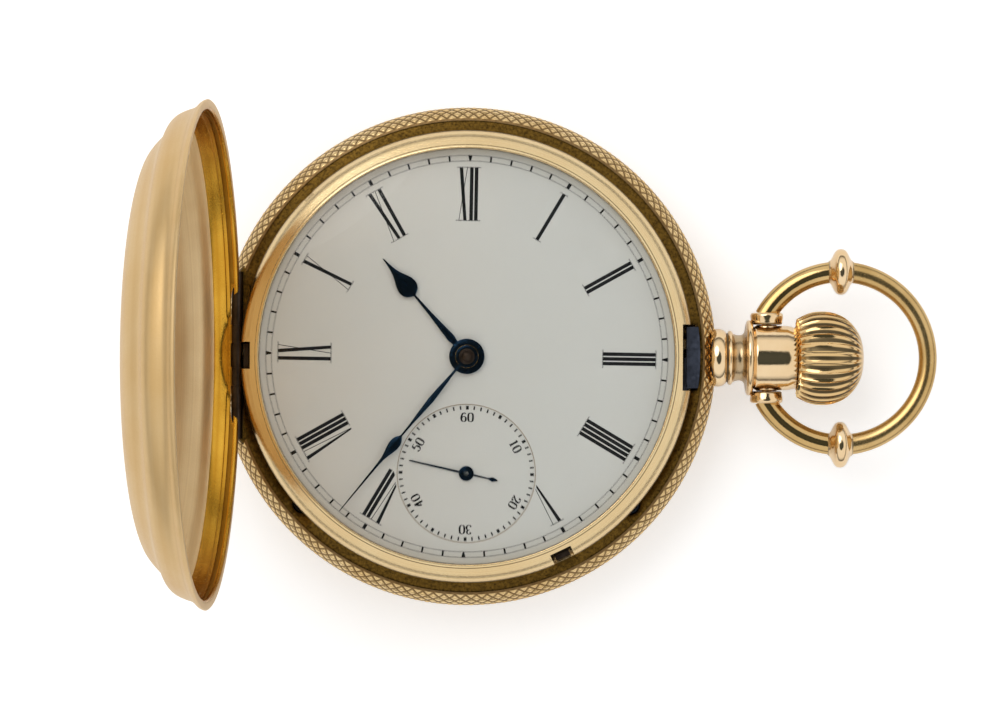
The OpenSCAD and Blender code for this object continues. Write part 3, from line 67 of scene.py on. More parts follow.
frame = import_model()
NODES = frame["nodes"]
MM = 0.001


# Sizes and colours

def linear(code):
    """Scene-linear colour of an sRGB hex code: c / 12.92 up to 0.04045, above that
    ((c + 0.055) / 1.055)^2.4."""
    c = np.array([int(code[i:i + 2], 16) for i in (1, 3, 5)]) / 255
    return tuple(float(v) for v in np.where(c <= 0.04045, c / 12.92, ((c + 0.055) / 1.055) ** 2.4))


def size_in(name, mm, words):
    """A length that a user may change, given in millimetres and kept in metres."""
    return bpy.props.FloatProperty(name=name, description=words, default=mm * MM, min=0.0,
                                   subtype="DISTANCE", unit="LENGTH", precision=5)


def colour_of(name, code, words):
    """A colour that a user may change."""
    return bpy.props.FloatVectorProperty(name=name, description=words, size=3, min=0.0, max=1.0,
                                         subtype="COLOR", default=linear(code))


class CaseSizes(bpy.types.PropertyGroup):
    edge_r: size_in("Band edge radius", 26.1, "Radius of the band where the covers close on it")
    belly: size_in("Belly", 0.9, "How far the band swells past its edges")
    low: size_in("Band low edge", 6.8, "Height of the band's low edge over the table")
    high: size_in("Band high edge", 10.4, "Height of the band's high edge over the table")
    cut_depth: size_in("Cut depth", 0.14, "Depth of the grooves between the band's diamonds")
    cut_height: size_in("Diamond height", 1.05, "Height of one cut diamond along the band")
    hinge_x: size_in("Hinge distance", 24.75, "Distance of the covers' hinges from the case axis")
    hinge_z: size_in("Front hinge height", 10.7, "Height of the front cover's hinge")
    open_angle: bpy.props.FloatProperty(name="Cover angle", description="How far the front cover "
                                        "stands open", default=radians(93.5), subtype="ANGLE")
    cells: bpy.props.IntProperty(name="Diamonds", description="Diamonds in one turn of the band",
                                 default=140, min=60, max=220)
    glass_r: size_in("Glass radius", 22.7, "Radius of the watch glass")
    window_r: size_in("Window radius", 22.32, "Radius of the bezel's opening")
    bezel_r: size_in("Bezel radius", 24.35, "Outer radius of the bezel")


class DialSizes(bpy.types.PropertyGroup):
    top: size_in("Dial height", 11.8, "Height of the dial's face")
    sunk: size_in("Sink", 0.15, "Depth of the seconds dial under the dial's face")
    seconds_y: size_in("Seconds drop", 12.58, "Distance of the seconds dial from the centre")
    seconds_r: size_in("Seconds radius", 7.42, "Radius of the seconds dial")
    track_out: size_in("Track outside", 21.6, "Radius of the minute track's outer circle")
    track_in: size_in("Track inside", 21.0, "Radius of the minute track's inner circle")
    figure_out: size_in("Figures outside", 20.3, "Radius of the hour figures' outer ends")
    figure_in: size_in("Figures inside", 14.6, "Radius of the hour figures' inner ends")
    stem: size_in("Stem width", 0.38, "Width of a thick stroke of an hour figure")
    hair: size_in("Hairline width", 0.07, "Width of a thin stroke of an hour figure")
    ink: size_in("Ink height", 0.012, "How far the fired ink stands over the enamel")
    turn: bpy.props.FloatProperty(name="Dial turn", description="How far the dial sits turned in "
                                  "its case", default=radians(0.7), subtype="ANGLE")


class BowSizes(bpy.types.PropertyGroup):
    axis_z: size_in("Pendant height", 8.6, "Height of the pendant's axis over the table")
    eye_x: size_in("Eye distance", 32.4, "Distance of the bow's pivots from the case axis")
    middle_x: size_in("Bow centre", 40.4, "Distance of the bow's centre from the case axis")
    radius: size_in("Bow radius", 9.35, "Radius of the middle of the bow's bar")
    arm: size_in("Arm width", 2.3, "Width of the bar between the eyes and the beads")
    far: size_in("Far width", 1.95, "Width of the bar at its far end")
    thick: size_in("Bar thickness", 1.88, "Thickness of the bar")
    bead_r: size_in("Bead radius", 2.5, "Radius of the two beads")
    crown_r: size_in("Crown radius", 5.06, "Largest radius of the crown")
    flute: size_in("Flute depth", 0.2, "Depth of the grooves between the crown's ribs")
    ribs: bpy.props.IntProperty(name="Ribs", description="Ribs round the crown", default=30,
                                min=16, max=40)


class WatchColours(bpy.types.PropertyGroup):
    gold: colour_of("Gold", "#DDC398", "Polished yellow gold")
    deep_gold: colour_of("Deep gold", "#C89A50", "Where the gold is thicker with handling")
    cream_gold: colour_of("Cream gold", "#DBBD8C", "The covers' worn outside")
    # Partly the inside's own deeper gold, partly painted reflection of the gold hollow on itself
    lid_gold: colour_of("Inner gold", "#E3AE40", "The covers' polished inside")
    bow_gold: colour_of("Bow gold", "#D3B27A", "Gold of the bow, a little deeper")
    # Partly unpolished gold, partly painted shadow of the bezel over the band's flat ring
    dull_gold: colour_of("Dull gold", "#7A5C26", "The unpolished ring round the bezel")
    # Soiling in grooves and corners, used there as painted shade as well
    grime: colour_of("Grime", "#3A2A10", "What lies in grooves and corners")
    enamel: colour_of("Enamel", "#DCDDD7", "The dial's fired white")
    # Painted light as well as a warmer tint: brighter than the enamel, laid towards the dial's
    # shaded left side
    warm_enamel: colour_of("Warm enamel", "#F0E8DC", "Where the white is a little warmer")
    ink: colour_of("Ink", "#0B0B0E", "The black of the figures")
    tan: colour_of("Seam", "#B0A08A", "The seam round the seconds dial")
    blued: colour_of("Blued steel", "#14283A", "Steel coloured in the flame")
    spring_steel: colour_of("Spring steel", "#5A6070", "Hardened steel of the lock spring")
    dark_steel: colour_of("Old steel", "#4A4038", "Handled steel of hinges and springs")
    steel: colour_of("Steel", "#B9B8B4", "Clean polished steel")
    nickel: colour_of("Nickel", "#CFC8B8", "Frosted nickel plates")
    brass: colour_of("Gilt brass", "#D6A95A", "Gilt wheels")
    ruby: colour_of("Ruby", "#A01832", "Jewels")


class StudioSizes(bpy.types.PropertyGroup):
    camera_z: size_in("Camera height", 460.4, "Height of the camera over the table")
    lens: bpy.props.FloatProperty(name="Lens", description="Focal length in millimetres",
                                  default=150.3, min=20, max=400)
    sky: bpy.props.FloatProperty(name="Sky", description="Level of the light from all round",
                                 default=0.72, min=0, max=2)
    lamp: bpy.props.FloatProperty(name="Lamp", description="Power of the soft lamp in watts",
                                  default=1.5, min=0, max=20)
    floor: colour_of("Floor", "#F6F6F6", "The pale table")


GROUPS = {"watch_case": CaseSizes, "watch_dial": DialSizes, "watch_bow": BowSizes,
          "watch_colours": WatchColours, "watch_studio": StudioSizes}


# Radius of a knuckle and of the room round it, in mm
KNUCKLE_R, KNUCKLE_ROOM = 0.62, 0.72
# Ends of a cover's knuckles along the hinge, and the hinge's own end, in mm from the middle
KNUCKLES, HINGE_HALF = (1.29, 3.26), 9.04
# Notches of the bezel at the lock spring's head and the lift spring's nose: edge, half width
HEAD_NOTCH, NOSE_NOTCH = (23.15, 3.55), (-23.25, 1.45)
# Setting lever's slot and opening nick, in degrees round the case
SETTING_ANGLE, NICK_ANGLE = -64, 135
# Room for the bow's eyes: its radius, and its start from the pendant's middle, in mm
EYE_ROOM, EYE_FROM = 1.9, 3.56
# Ends of the seconds dial's ticks and the place and height of its digits, in mm from its centre
SECONDS_TRACK, DIGIT_AT, DIGIT_HIGH = (7.27, 6.86), 6.04, 0.95
# Height of the hour hand over the table, step up to the minute hand and their thickness, in mm
HAND_Z, HAND_STEP, HAND_THICK = 12.15, 0.35, 0.15
# Hands of the photo, in degrees clockwise from 12 and 60
HOUR_AT, MINUTE_AT, SECOND_AT = 318.4, 218.5, 282


class Measures:
    """A property group's lengths in millimetres, and its other values as they are."""

    def __init__(self, group):
        for key, prop in group.bl_rna.properties.items():
            if key not in ("rna_type", "name"):
                value = getattr(group, key)
                length = prop.type == "FLOAT" and prop.subtype == "DISTANCE"
                setattr(self, key, value / MM if length else value)


# Surfaces

def smooth_path(points, steps):
    """Even steps along a curve through the points: cubic pieces over the square root of the
    chord length, whose slope at each point comes from both its neighbours."""
    p = np.asarray(points, float)
    t = np.concatenate([[0], np.cumsum(np.sqrt(np.linalg.norm(np.diff(p, axis=0), axis=1)))])
    slope = np.gradient(p, t, axis=0)
    s = np.linspace(0, t[-1], steps)
    k = np.clip(np.searchsorted(t, s, side="right") - 1, 0, len(t) - 2)
    h = (t[k + 1] - t[k])[:, None]
    u = (s - t[k])[:, None] / h
    return ((2 * u ** 3 - 3 * u ** 2 + 1) * p[k] + (u ** 3 - 2 * u ** 2 + u) * h * slope[k]
            + (3 * u ** 2 - 2 * u ** 3) * p[k + 1] + (u ** 3 - u ** 2) * h * slope[k + 1])


def along(points):
    """Distance travelled at each point of a path."""
    return np.concatenate([[0], np.cumsum(np.linalg.norm(np.diff(points, axis=0), axis=1))])


def around(r, z, angle):
    """Grid of radii and heights carried to each angle round Z: x = r cos a, y = r sin a."""
    return np.stack([r * np.cos(angle), r * np.sin(angle), z + 0 * angle], -1)


def turned(profile, segments):
    """Grid of a profile of (radius, height) turned round Z."""
    r, z = np.asarray(profile, float).T[..., None]
    return around(r, z, np.linspace(0, 2 * np.pi, segments, endpoint=False))


def to_x(grid):
    """Turns a grid's Z axis to X, handedness kept: (x, y, z) becomes (z, x, y)."""
    return grid[..., [2, 0, 1]]


def to_y(grid):
    """Turns a grid's Z axis to Y, handedness kept: (x, y, z) becomes (y, z, x)."""
    return grid[..., [1, 2, 0]]


def spun(points, degrees):
    """Points turned round Z: x' = x cos a - y sin a, y' = x sin a + y cos a."""
    a = radians(degrees)
    x, y = points[..., 0], points[..., 1]
    out = np.array(points, float)
    out[..., 0] = x * np.cos(a) - y * np.sin(a)
    out[..., 1] = x * np.sin(a) + y * np.cos(a)
    return out


def net(grid, rows_closed=False):
    """Points of a grid and its quads, each between four neighbours. The columns are joined round,
    and the rows too where they close."""
    rows, columns = grid.shape[:2]
    i = np.arange(rows * columns).reshape(rows, columns)
    if rows_closed:
        i = np.vstack([i, i[:1]])
    i = np.hstack([i, i[:, :1]])
    quads = np.stack([i[:-1, :-1], i[:-1, 1:], i[1:, 1:], i[1:, :-1]], -1).reshape(-1, 4)
    return grid.reshape(-1, 3), quads


def capped(grid):
    """A tube's grid, closed by a middle point before its first ring and after its last."""
    first = np.repeat(grid[:1].mean(1, keepdims=True), grid.shape[1], 1)
    last = np.repeat(grid[-1:].mean(1, keepdims=True), grid.shape[1], 1)
    return np.concatenate([first, grid, last])


def square_to(path):
    """Unit directions along a path of (x, y) points, and square to it on its left."""
    way = np.gradient(path, axis=0)
    way /= np.linalg.norm(way, axis=1)[:, None]
    return way, np.stack([-way[:, 1], way[:, 0]], 1)


def slab(left, right, low, high):
    """A flat closed strip between two edges of (x, y) points: a ring of four corners carried
    along them, from height low to high."""
    def edge(side, z):
        return np.concatenate([side, np.full((len(side), 1), z)], 1)
    grid = np.stack([edge(left, low), edge(right, low), edge(right, high), edge(left, high)], 1)
    return net(capped(grid))


def strip(path, widths, low, high):
    """A slab along a path: its edges stand half the width to each side, square to the path."""
    path = np.asarray(path, float)
    side = square_to(path)[1] * np.asarray(widths, float).reshape(-1, 1) / 2
    return slab(path + side, path - side, low, high)


def shell(points_and_faces, coat=0, groove=0.0, turn=0.0):
    """One surface of a piece, with its coat's number, how much of the dark groove colour each point
    takes (0 to 1), partly soiling and partly painted shade, and how far along the turned profile it
    is (mm)."""
    points, faces = points_and_faces
    return (points, faces, np.broadcast_to(coat, len(faces)),
            np.broadcast_to(groove, len(points)), np.broadcast_to(turn, len(points)))


def lathed(grid, groove, profile=None, coat=0, closed=False):
    """A turned grid's surface, with how much of the dark groove colour each row takes (soiling and
    painted shade) and, from its profile, how far along it."""
    columns = grid.shape[1]
    turn = 0.0 if profile is None else np.repeat(along(profile), columns)
    return shell(net(grid, closed), coat, np.repeat(groove, columns), turn)


def clean(mesh, near=2e-7, outward=True):
    """Merges a mesh's doubled points, and turns its faces outward."""
    shape = bmesh.new()
    shape.from_mesh(mesh)
    bmesh.ops.remove_doubles(shape, verts=shape.verts, dist=near)
    if outward:
        bmesh.ops.dissolve_degenerate(shape, edges=shape.edges, dist=1e-7)
        bmesh.ops.recalc_face_normals(shape, faces=shape.faces)
    shape.to_mesh(mesh)
    shape.free()


def mesh_points(mesh):
    """A mesh's points, in metres."""
    points = np.empty(len(mesh.vertices) * 3, np.float32)
    mesh.vertices.foreach_get("co", points)
    return points.reshape(-1, 3).astype(float)


def move_points(mesh, points):
    """Gives a mesh's points new places, in metres."""
    mesh.vertices.foreach_set("co", points.astype(np.float32).ravel())
    mesh.update()


def mesh_of(name, points, faces):
    """A new mesh of points given in millimetres."""
    mesh = bpy.data.meshes.new(name)
    mesh.from_pydata((points * MM).tolist(), [], faces.tolist())
    return mesh


def placed(name, data):
    """A new object in the scene with that mesh, lamp or camera."""
    piece = bpy.data.objects.new(name, data)
    bpy.context.scene.collection.objects.link(piece)
    return piece


def make_piece(name, shells, coats, body, slot, replaces=(), sharp=32):
    """Joins surfaces, given in millimetres, into one mesh object: doubled points are merged,
    faces turned outward and edges steeper than sharp degrees kept crisp."""
    starts = np.concatenate([[0], np.cumsum([len(s[0]) for s in shells])])
    mesh = mesh_of(name, np.concatenate([s[0] for s in shells]),
                   np.concatenate([s[1] + n for s, n in zip(shells, starts)]))
    mesh.polygons.foreach_set("material_index",
                              np.concatenate([s[2] for s in shells]).astype(np.int32))
    for word, k in (("groove", 3), ("turn", 4)):
        mark = mesh.attributes.new(word, "FLOAT", "POINT")
        mark.data.foreach_set("value", np.concatenate([s[k] for s in shells]).astype(np.float32))
    clean(mesh)
    return dress(name, mesh, coats, body, slot, replaces, sharp)


def dress(name, mesh, coats, body, slot, replaces=(), sharp=32):
    """Puts a mesh in the scene with its coats, shading and body. The slot argument is not used."""
    piece = placed(name, mesh)
    for coat in coats:
        mesh.materials.append(coat)
    mesh.shade_smooth()
    mesh.set_sharp_from_angle(angle=radians(sharp))
    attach(piece, body)
    if replaces:
        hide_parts(*replaces)
    return piece


def carve(piece, cutters, sharp=32):
    """Takes the cutters out of a piece by exact difference, and deletes them."""
    for cutter in cutters:
        step = piece.modifiers.new("cut", "BOOLEAN")
        step.operation, step.solver, step.object = "DIFFERENCE", "EXACT", cutter
    bpy.context.view_layer.update()
    cut = bpy.data.meshes.new_from_object(
        piece.evaluated_get(bpy.context.evaluated_depsgraph_get()))
    if len(cut.polygons) < 10:
        raise RuntimeError(f"{piece.name}: the cut left nothing")
    piece.modifiers.clear()
    cut.name = piece.name
    piece.data = cut
    for cutter in cutters:
        bpy.data.objects.remove(cutter)
    cut.set_sharp_from_angle(angle=radians(sharp))
    return piece


def cutter(points_and_faces):
    """A bare object that carve() uses once."""
    mesh = mesh_of("cutter", *points_and_faces)
    clean(mesh)
    return placed("cutter", mesh)


def block(low, high, turn=0):
    """A box between two corners, turned round Z: two rings of four corners, capped."""
    x = np.array([low[0], high[0], high[0], low[0]])
    y = np.array([low[1], low[1], high[1], high[1]])
    grid = np.stack([np.stack([x, y, np.full(4, z)], 1) for z in (low[2], high[2])])
    points, faces = net(capped(grid))
    return spun(points, turn), faces


def rod_y(radius, x, z, y1, y2, segments=40):
    """A closed cylinder along Y: a circle in X and Z at two distances, capped."""
    grid = to_y(turned([(0, y1), (radius, y1), (radius, y2), (0, y2)], segments))
    return net(grid + [x, 0, z])


def smooth_copy(name, node, coats, body, slot, sharp=28):
    """A node's own mesh with its loose triangles merged, so that its curves shade smoothly."""
    mesh = NODES[node].data.copy()
    mesh.name = name
    mesh.materials.clear()
    clean(mesh, 1e-6, outward=False)
    return dress(name, mesh, coats, body, slot, (node,), sharp)


def recoat(node, coat):
    """Gives a node's own mesh one coat."""
    materials = NODES[node].data.materials
    materials.clear()
    materials.append(coat)


# Coats

def add(tree, kind, inputs=(), out=0, stops=(), **settings):
    """Adds a shader node of that kind and gives one of its outputs, by name or number. Settings
    are its own properties. Inputs, by name or in their order, are values or other nodes'
    outputs, and stops are a colour ramp's places and colours."""
    node = tree.nodes.new("ShaderNode" + kind)
    for key, value in settings.items():
        setattr(node, key, value)
    for key, value in (inputs if isinstance(inputs, dict) else dict(enumerate(inputs))).items():
        socket = node.inputs[key]
        if isinstance(value, bpy.types.NodeSocket):
            tree.links.new(value, socket)
        else:
            socket.default_value = (*value, 1) if socket.type == "RGBA" else value
    while stops and len(node.color_ramp.elements) < len(stops):
        node.color_ramp.elements.new(0.5)
    for k, (place, colour) in enumerate(stops):
        element = node.color_ramp.elements[k]
        element.position, element.color = place, (*colour, 1)
    return node.outputs[out] if node.outputs else None


def start_coat(name, **values):
    """A material with one shader, whose sockets take the values, and its Object coordinates."""
    coat = bpy.data.materials.new(name)
    coat.use_nodes = True
    tree = coat.node_tree
    tree.nodes.clear()
    shader = add(tree, "BsdfPrincipled", values)
    add(tree, "OutputMaterial", {"Surface": shader})
    return coat, tree, shader.node, add(tree, "TexCoord", out="Object")


def join(tree, shader, base=None, gloss=None, height=None, wear=0.0):
    """Gives the shader its colour, its roughness and a relief of wear mm, where there is one."""
    if height:
        height = add(tree, "Bump", {"Height": height, "Strength": 1.0, "Distance": wear * MM})
    for key, value in (("Base Color", base), ("Roughness", gloss), ("Normal", height)):
        if value:
            tree.links.new(value, shader.inputs[key])


def grey(value):
    """A grey for a ramp's stop."""
    return (value, value, value)


def darker(colour, share):
    """A colour at that share of its brightness."""
    return tuple(share * c for c in colour)


def gold_coat(name, colour, deep, grime, rough=(0.12, 0.24), spread=6.0, share=0.5, lines=0.3,
              wear=0.02, apart=0.22):
    """Rolled gold, polished long ago: a bright yellow metal, a little deeper in broad patches,
    with fine turning lines that stretch its reflections, hair scratches and a dark colour in its
    grooves and corners that is partly soiling and partly painted shade and painted reflection.
    Patches are spread mm wide, turning lines apart mm from each other, scratches 0.25 mm."""
    coat, tree, shader, place = start_coat(name, Metallic=1.0)
    patches = add(tree, "TexNoise", {"Vector": place, "Scale": 1 / (spread * MM), "Detail": 3.0,
                                     "Roughness": 0.55})
    scratches = add(tree, "TexNoise", {"Vector": place, "Scale": 1 / (0.25 * MM), "Detail": 4.0,
                                       "Roughness": 0.7})
    groove, turn = (add(tree, "Attribute", out="Fac", attribute_name=word)
                    for word in ("groove", "turn"))
    count = add(tree, "Math", (turn, 1 / apart), operation="MULTIPLY")
    rings = add(tree, "TexNoise", {"W": count, "Scale": 1.0, "Detail": 3.0},
                noise_dimensions="1D")
    deeper = add(tree, "MapRange", (patches, 0.35, 0.75, 0.0, share))
    base = add(tree, "Mix", {"Factor": deeper, "A": colour, "B": deep}, "Result",
               data_type="RGBA")
    lined = add(tree, "MapRange", (rings, 0.3, 0.7, 0.0, lines * 0.6))
    ringed = add(tree, "Mix", {"Factor": lined, "A": base, "B": deep}, "Result",
                 data_type="RGBA")
    # Soiling and painted shade: the groove mark mixes in the dark groove colour
    dirt_and_shade = add(tree, "MapRange", (groove, 0.25, 0.95, 0.0, 0.85))
    soiled = add(tree, "Mix", {"Factor": dirt_and_shade, "A": ringed, "B": grime}, "Result",
                 data_type="RGBA")
    gloss = add(tree, "MapRange", (scratches, 0.3, 0.7, *rough))
    join(tree, shader, soiled, add(tree, "Math", (dirt_and_shade, 0.35, gloss), operation="MULTIPLY_ADD"),
         add(tree, "Math", (rings, lines, scratches), operation="MULTIPLY_ADD"), wear)
    return coat


def steel_coat(name, colour, rough=(0.15, 0.3), stain=None, wear=0.006, metallic=1.0):
    """Polished steel: a neutral metal with a fine grain of 0.4 mm. Blued steel is near black with
    a blue glint; old steel has brown stains about 1.5 mm wide."""
    coat, tree, shader, place = start_coat(name, Metallic=metallic)
    stains = add(tree, "TexNoise", {"Vector": place, "Scale": 1 / (1.5 * MM), "Detail": 4.0,
                                    "Roughness": 0.65})
    grain = add(tree, "TexNoise", {"Vector": place, "Scale": 1 / (0.4 * MM), "Detail": 3.0})
    stained = add(tree, "MapRange", (stains, 0.35, 0.7, 0.0, 0.7))
    base = add(tree, "Mix", {"Factor": stained, "A": colour, "B": stain or darker(colour, 0.72)},
               "Result", data_type="RGBA")
    join(tree, shader, base, add(tree, "MapRange", (grain, 0.3, 0.7, *rough)), grain, wear)
    return coat


def plate_coat(name, colour):
    """Frosted nickel plate, damascened: soft stripes 1.6 mm apart, brighter and duller in turn,
    over a fine matte grain of 0.12 mm."""
    coat, tree, shader, place = start_coat(name, Metallic=1.0)
    stripes = add(tree, "TexWave", {"Vector": place, "Scale": 0.314 / (1.6 * MM),
                                    "Distortion": 0.6, "Detail": 1.0}, 1,
                  wave_type="BANDS", bands_direction="DIAGONAL")
    base = add(tree, "Mix", {"Factor": stripes, "A": colour, "B": darker(colour, 0.74)},
               "Result", data_type="RGBA")
    grain = add(tree, "TexNoise", {"Vector": place, "Scale": 1 / (0.12 * MM)})
    join(tree, shader, base, add(tree, "MapRange", (stripes, 0.0, 1.0, 0.24, 0.4)), grain, 0.004)
    return coat


def enamel_coat(name, white, warm, speck):
    """Vitreous enamel fired on copper: a glassy white with slow drifts to a warmer white over 14 mm,
    which grow towards the left as painted light, a brighter white where the open cover shades the
    dial; a faint orange-peel of 0.9 mm and rare dark specks of 0.1 mm from the kiln."""
    coat, tree, shader, place = start_coat(name, Roughness=0.16)
    clouds = add(tree, "TexNoise", {"Vector": place, "Scale": 1 / (14 * MM), "Detail": 1.5})
    across = add(tree, "SeparateXYZ", (place,), "X")
    # Painted light: the brighter, warmer white grows from x = 6 mm towards the left, where the open
    # cover shades the dial
    side = add(tree, "MapRange", (across, 6 * MM, -20 * MM, 0.0, 0.9))
    warmth_and_light = add(tree, "Math", (clouds, side), operation="MULTIPLY")
    base = add(tree, "Mix", {"Factor": warmth_and_light, "A": white, "B": warm}, "Result",
               data_type="RGBA")
    dots = add(tree, "TexVoronoi", {"Vector": place, "Scale": 1 / (1.7 * MM), "Randomness": 1.0})
    spot = add(tree, "ValToRGB", (dots,), stops=[(0.02, grey(0.45)), (0.045, grey(0.0))])
    rare = add(tree, "Math", (dots.node.outputs["Color"], 0.72), operation="GREATER_THAN")
    specks = add(tree, "Math", (spot, rare), operation="MULTIPLY")
    speckled = add(tree, "Mix", {"Factor": specks, "A": base, "B": speck}, "Result",
                   data_type="RGBA")
    peel = add(tree, "TexNoise", {"Vector": place, "Scale": 1 / (0.9 * MM), "Detail": 1.0})
    join(tree, shader, speckled, None, peel, 0.003)
    return coat


def ink_coat(name, colour):
    """Black enamel painted with a pen and fired: solid black, its strokes broken by grey pinholes
    of 0.2 mm."""
    coat, tree, shader, place = start_coat(name, Roughness=0.6, **{"Specular IOR Level": 0.25})
    holes = add(tree, "TexNoise", {"Vector": place, "Scale": 1 / (0.22 * MM), "Detail": 3.0,
                                   "Roughness": 0.7})
    join(tree, shader, add(tree, "ValToRGB", (holes,),
                           stops=[(0.6, colour), (0.78, linear("#505052"))]))
    return coat


def glass_coat(name):
    """Ground watch glass: clear, colourless, with only the faintest film on it, 5 mm wide. Part
    of it is plain see-through, so that the lamps light the dial under it."""
    coat, tree, shader, place = start_coat(name, **{"Base Color": linear("#FDFEFE"), "IOR": 1.52,
                                                    "Transmission Weight": 1.0, "Alpha": 0.3})
    film = add(tree, "TexNoise", {"Vector": place, "Scale": 1 / (5 * MM), "Detail": 3.0})
    join(tree, shader, None, add(tree, "MapRange", (film, 0.4, 0.8, 0.0, 0.03)))
    return coat


def ruby_coat(name, colour):
    """Pierced ruby: deep red, glassy, a little cloudy inside over 0.5 mm."""
    coat, tree, shader, place = start_coat(name, Roughness=0.06, IOR=1.77, **{"Coat Weight": 0.4})
    clouds = add(tree, "TexNoise", {"Vector": place, "Scale": 1 / (0.5 * MM)})
    join(tree, shader, add(tree, "Mix", {"Factor": clouds, "A": colour,
                                         "B": darker(colour, 0.45)}, "Result", data_type="RGBA"))
    return coat


def band_coat(name, gold, dull, grime, inner, floor_z):
    """The band's own metal: polished gold, but dull, dark and grainy (0.3 mm) on the flat ring
    between the bezel and the diamonds: partly tarnish where polish never reaches, partly painted
    shadow of the bezel over that recessed ring."""
    coat = gold_coat(name, gold, dull, grime, rough=(0.2, 0.35), spread=3.0, share=0.6)
    tree = coat.node_tree
    shader = next(n for n in tree.nodes if n.type == "BSDF_PRINCIPLED")
    place = next(n for n in tree.nodes if n.type == "TEX_COORD").outputs["Object"]
    height = add(tree, "SeparateXYZ", (place,), "Z")
    flat = add(tree, "VectorMath", (place, (1, 1, 0)), operation="MULTIPLY")
    away = add(tree, "VectorMath", (flat,), "Value", operation="LENGTH")
    outside = add(tree, "MapRange", (away, (inner - 0.1) * MM, inner * MM))
    above = add(tree, "Math", (height, floor_z * MM), operation="GREATER_THAN")
    ring = add(tree, "Math", (outside, above), operation="MULTIPLY")
    grain = add(tree, "TexNoise", {"Vector": place, "Scale": 1 / (0.3 * MM), "Detail": 5.0,
                                   "Roughness": 0.8})
    # Tarnish and painted shadow on the flat ring: a grain from the dark groove colour to the dull
    # gold
    dark = add(tree, "ValToRGB", (grain,), stops=[(0.36, grime), (0.62, dull)])
    base, gloss = (shader.inputs[key].links[0].from_socket for key in ("Base Color", "Roughness"))
    dulled = add(tree, "Mix", {"Factor": ring, "A": base, "B": dark}, "Result",
                 data_type="RGBA")
    join(tree, shader, dulled, add(tree, "Math", (ring, 0.22, gloss), operation="MULTIPLY_ADD"))
    return coat


COATS = {}


def coats():
    """Every coat of the watch, made once."""
    if COATS:
        return COATS
    c = bpy.context.scene.watch_colours
    gold, deep, grime = tuple(c.gold), tuple(c.deep_gold), tuple(c.grime)
    COATS.update({
        "gold": gold_coat("rolled_gold_polished", gold, deep, grime),
        "bezel": gold_coat("rolled_gold_bezel", linear("#E6CFA2"), deep, grime, rough=(0.16, 0.28),
                           spread=9.0, share=0.25, lines=0.4),
        "mirror": gold_coat("rolled_gold_bright", linear("#F0D4AA"), linear("#D8AC6C"), grime,
                            rough=(0.05, 0.12), spread=5.0, share=0.4, lines=0.08, wear=0.006),
        # Painted reflection: the crown's groove colour, a dark green-black, stands in for the dark
        # overhead seen in its flute valleys
        "crown": gold_coat("rolled_gold_crown", linear("#E2C08A"), deep, linear("#1E2018"),
                           rough=(0.06, 0.13), spread=5.0, share=0.4, lines=0.0, wear=0.005),
        "lid": gold_coat("rolled_gold_worn_outside", tuple(c.cream_gold), deep, grime,
                         rough=(0.36, 0.46), spread=7.0, share=0.3, lines=0.38, wear=0.012,
                         apart=1.3),
        "lid_dome": gold_coat("rolled_gold_frosted_inside", linear("#FFE6B8"), deep, grime,
                              rough=(0.5, 0.62), spread=6.0, share=0.2, lines=0.25),
        "bow_arm": gold_coat("rolled_gold_bow_arm", tuple(c.bow_gold), linear("#B08A48"), grime,
                             rough=(0.07, 0.14), spread=5.0, share=0.6, lines=0.05, wear=0.006),
        "bow": gold_coat("rolled_gold_bow", tuple(c.bow_gold), linear("#B08A48"), grime,
                         rough=(0.2, 0.28), spread=5.0, share=0.7, lines=0.05, wear=0.004),
        # The inside's deeper gold is partly painted reflection of the cover's gold hollow on itself
        "lid_inside": gold_coat("rolled_gold_turned_inside", tuple(c.lid_gold),
                                linear("#B8801F"), grime, rough=(0.14, 0.3), spread=4.0,
                                share=0.7, lines=1.0, apart=0.5),
        "cuts": gold_coat("gold_diamond_cut", linear("#EACB94"), deep, linear("#5A3A14"),
                          rough=(0.14, 0.22), spread=5.0, share=0.5, lines=0.0, wear=0.008),
        "band": band_coat("gold_band", gold, tuple(c.dull_gold), grime, 24.35, 10.0),
        "old_steel": steel_coat("steel_hinge_handled", tuple(c.dark_steel), (0.3, 0.5),
                                linear("#2A1E14")),
        "steel": steel_coat("steel_polished", tuple(c.steel)),
        "blued": steel_coat("steel_flame_blued", tuple(c.blued), (0.16, 0.28),
                            linear("#0C1C28"), wear=0.003),
        "spring": steel_coat("steel_spring_hardened", tuple(c.spring_steel), (0.32, 0.45),
                             linear("#33363E")),
        "nickel": plate_coat("nickel_plate_damascened", tuple(c.nickel)),
        "brass": steel_coat("brass_gilt", tuple(c.brass), (0.18, 0.32), wear=0.004),
        "ruby": ruby_coat("ruby_pierced", tuple(c.ruby)),
        "enamel": enamel_coat("enamel_fired_white", tuple(c.enamel), tuple(c.warm_enamel),
                              linear("#6A6A66")),
        "ink": ink_coat("enamel_fired_black", tuple(c.ink)),
        "seam": steel_coat("enamel_seam_tan", tuple(c.tan), (0.4, 0.5), metallic=0.0),
        "glass": glass_coat("watch_glass_ground"),
    })
    return COATS


# The case

def belly_r(case, z):
    """Radius of the band's belly at a height: edge + swell (1 - u^2), u from -1 to 1 over it."""
    middle, half = (case.low + case.high) / 2, (case.high - case.low) / 2
    return case.edge_r + case.belly * (1 - np.clip((z - middle) / half, -1, 1) ** 2)


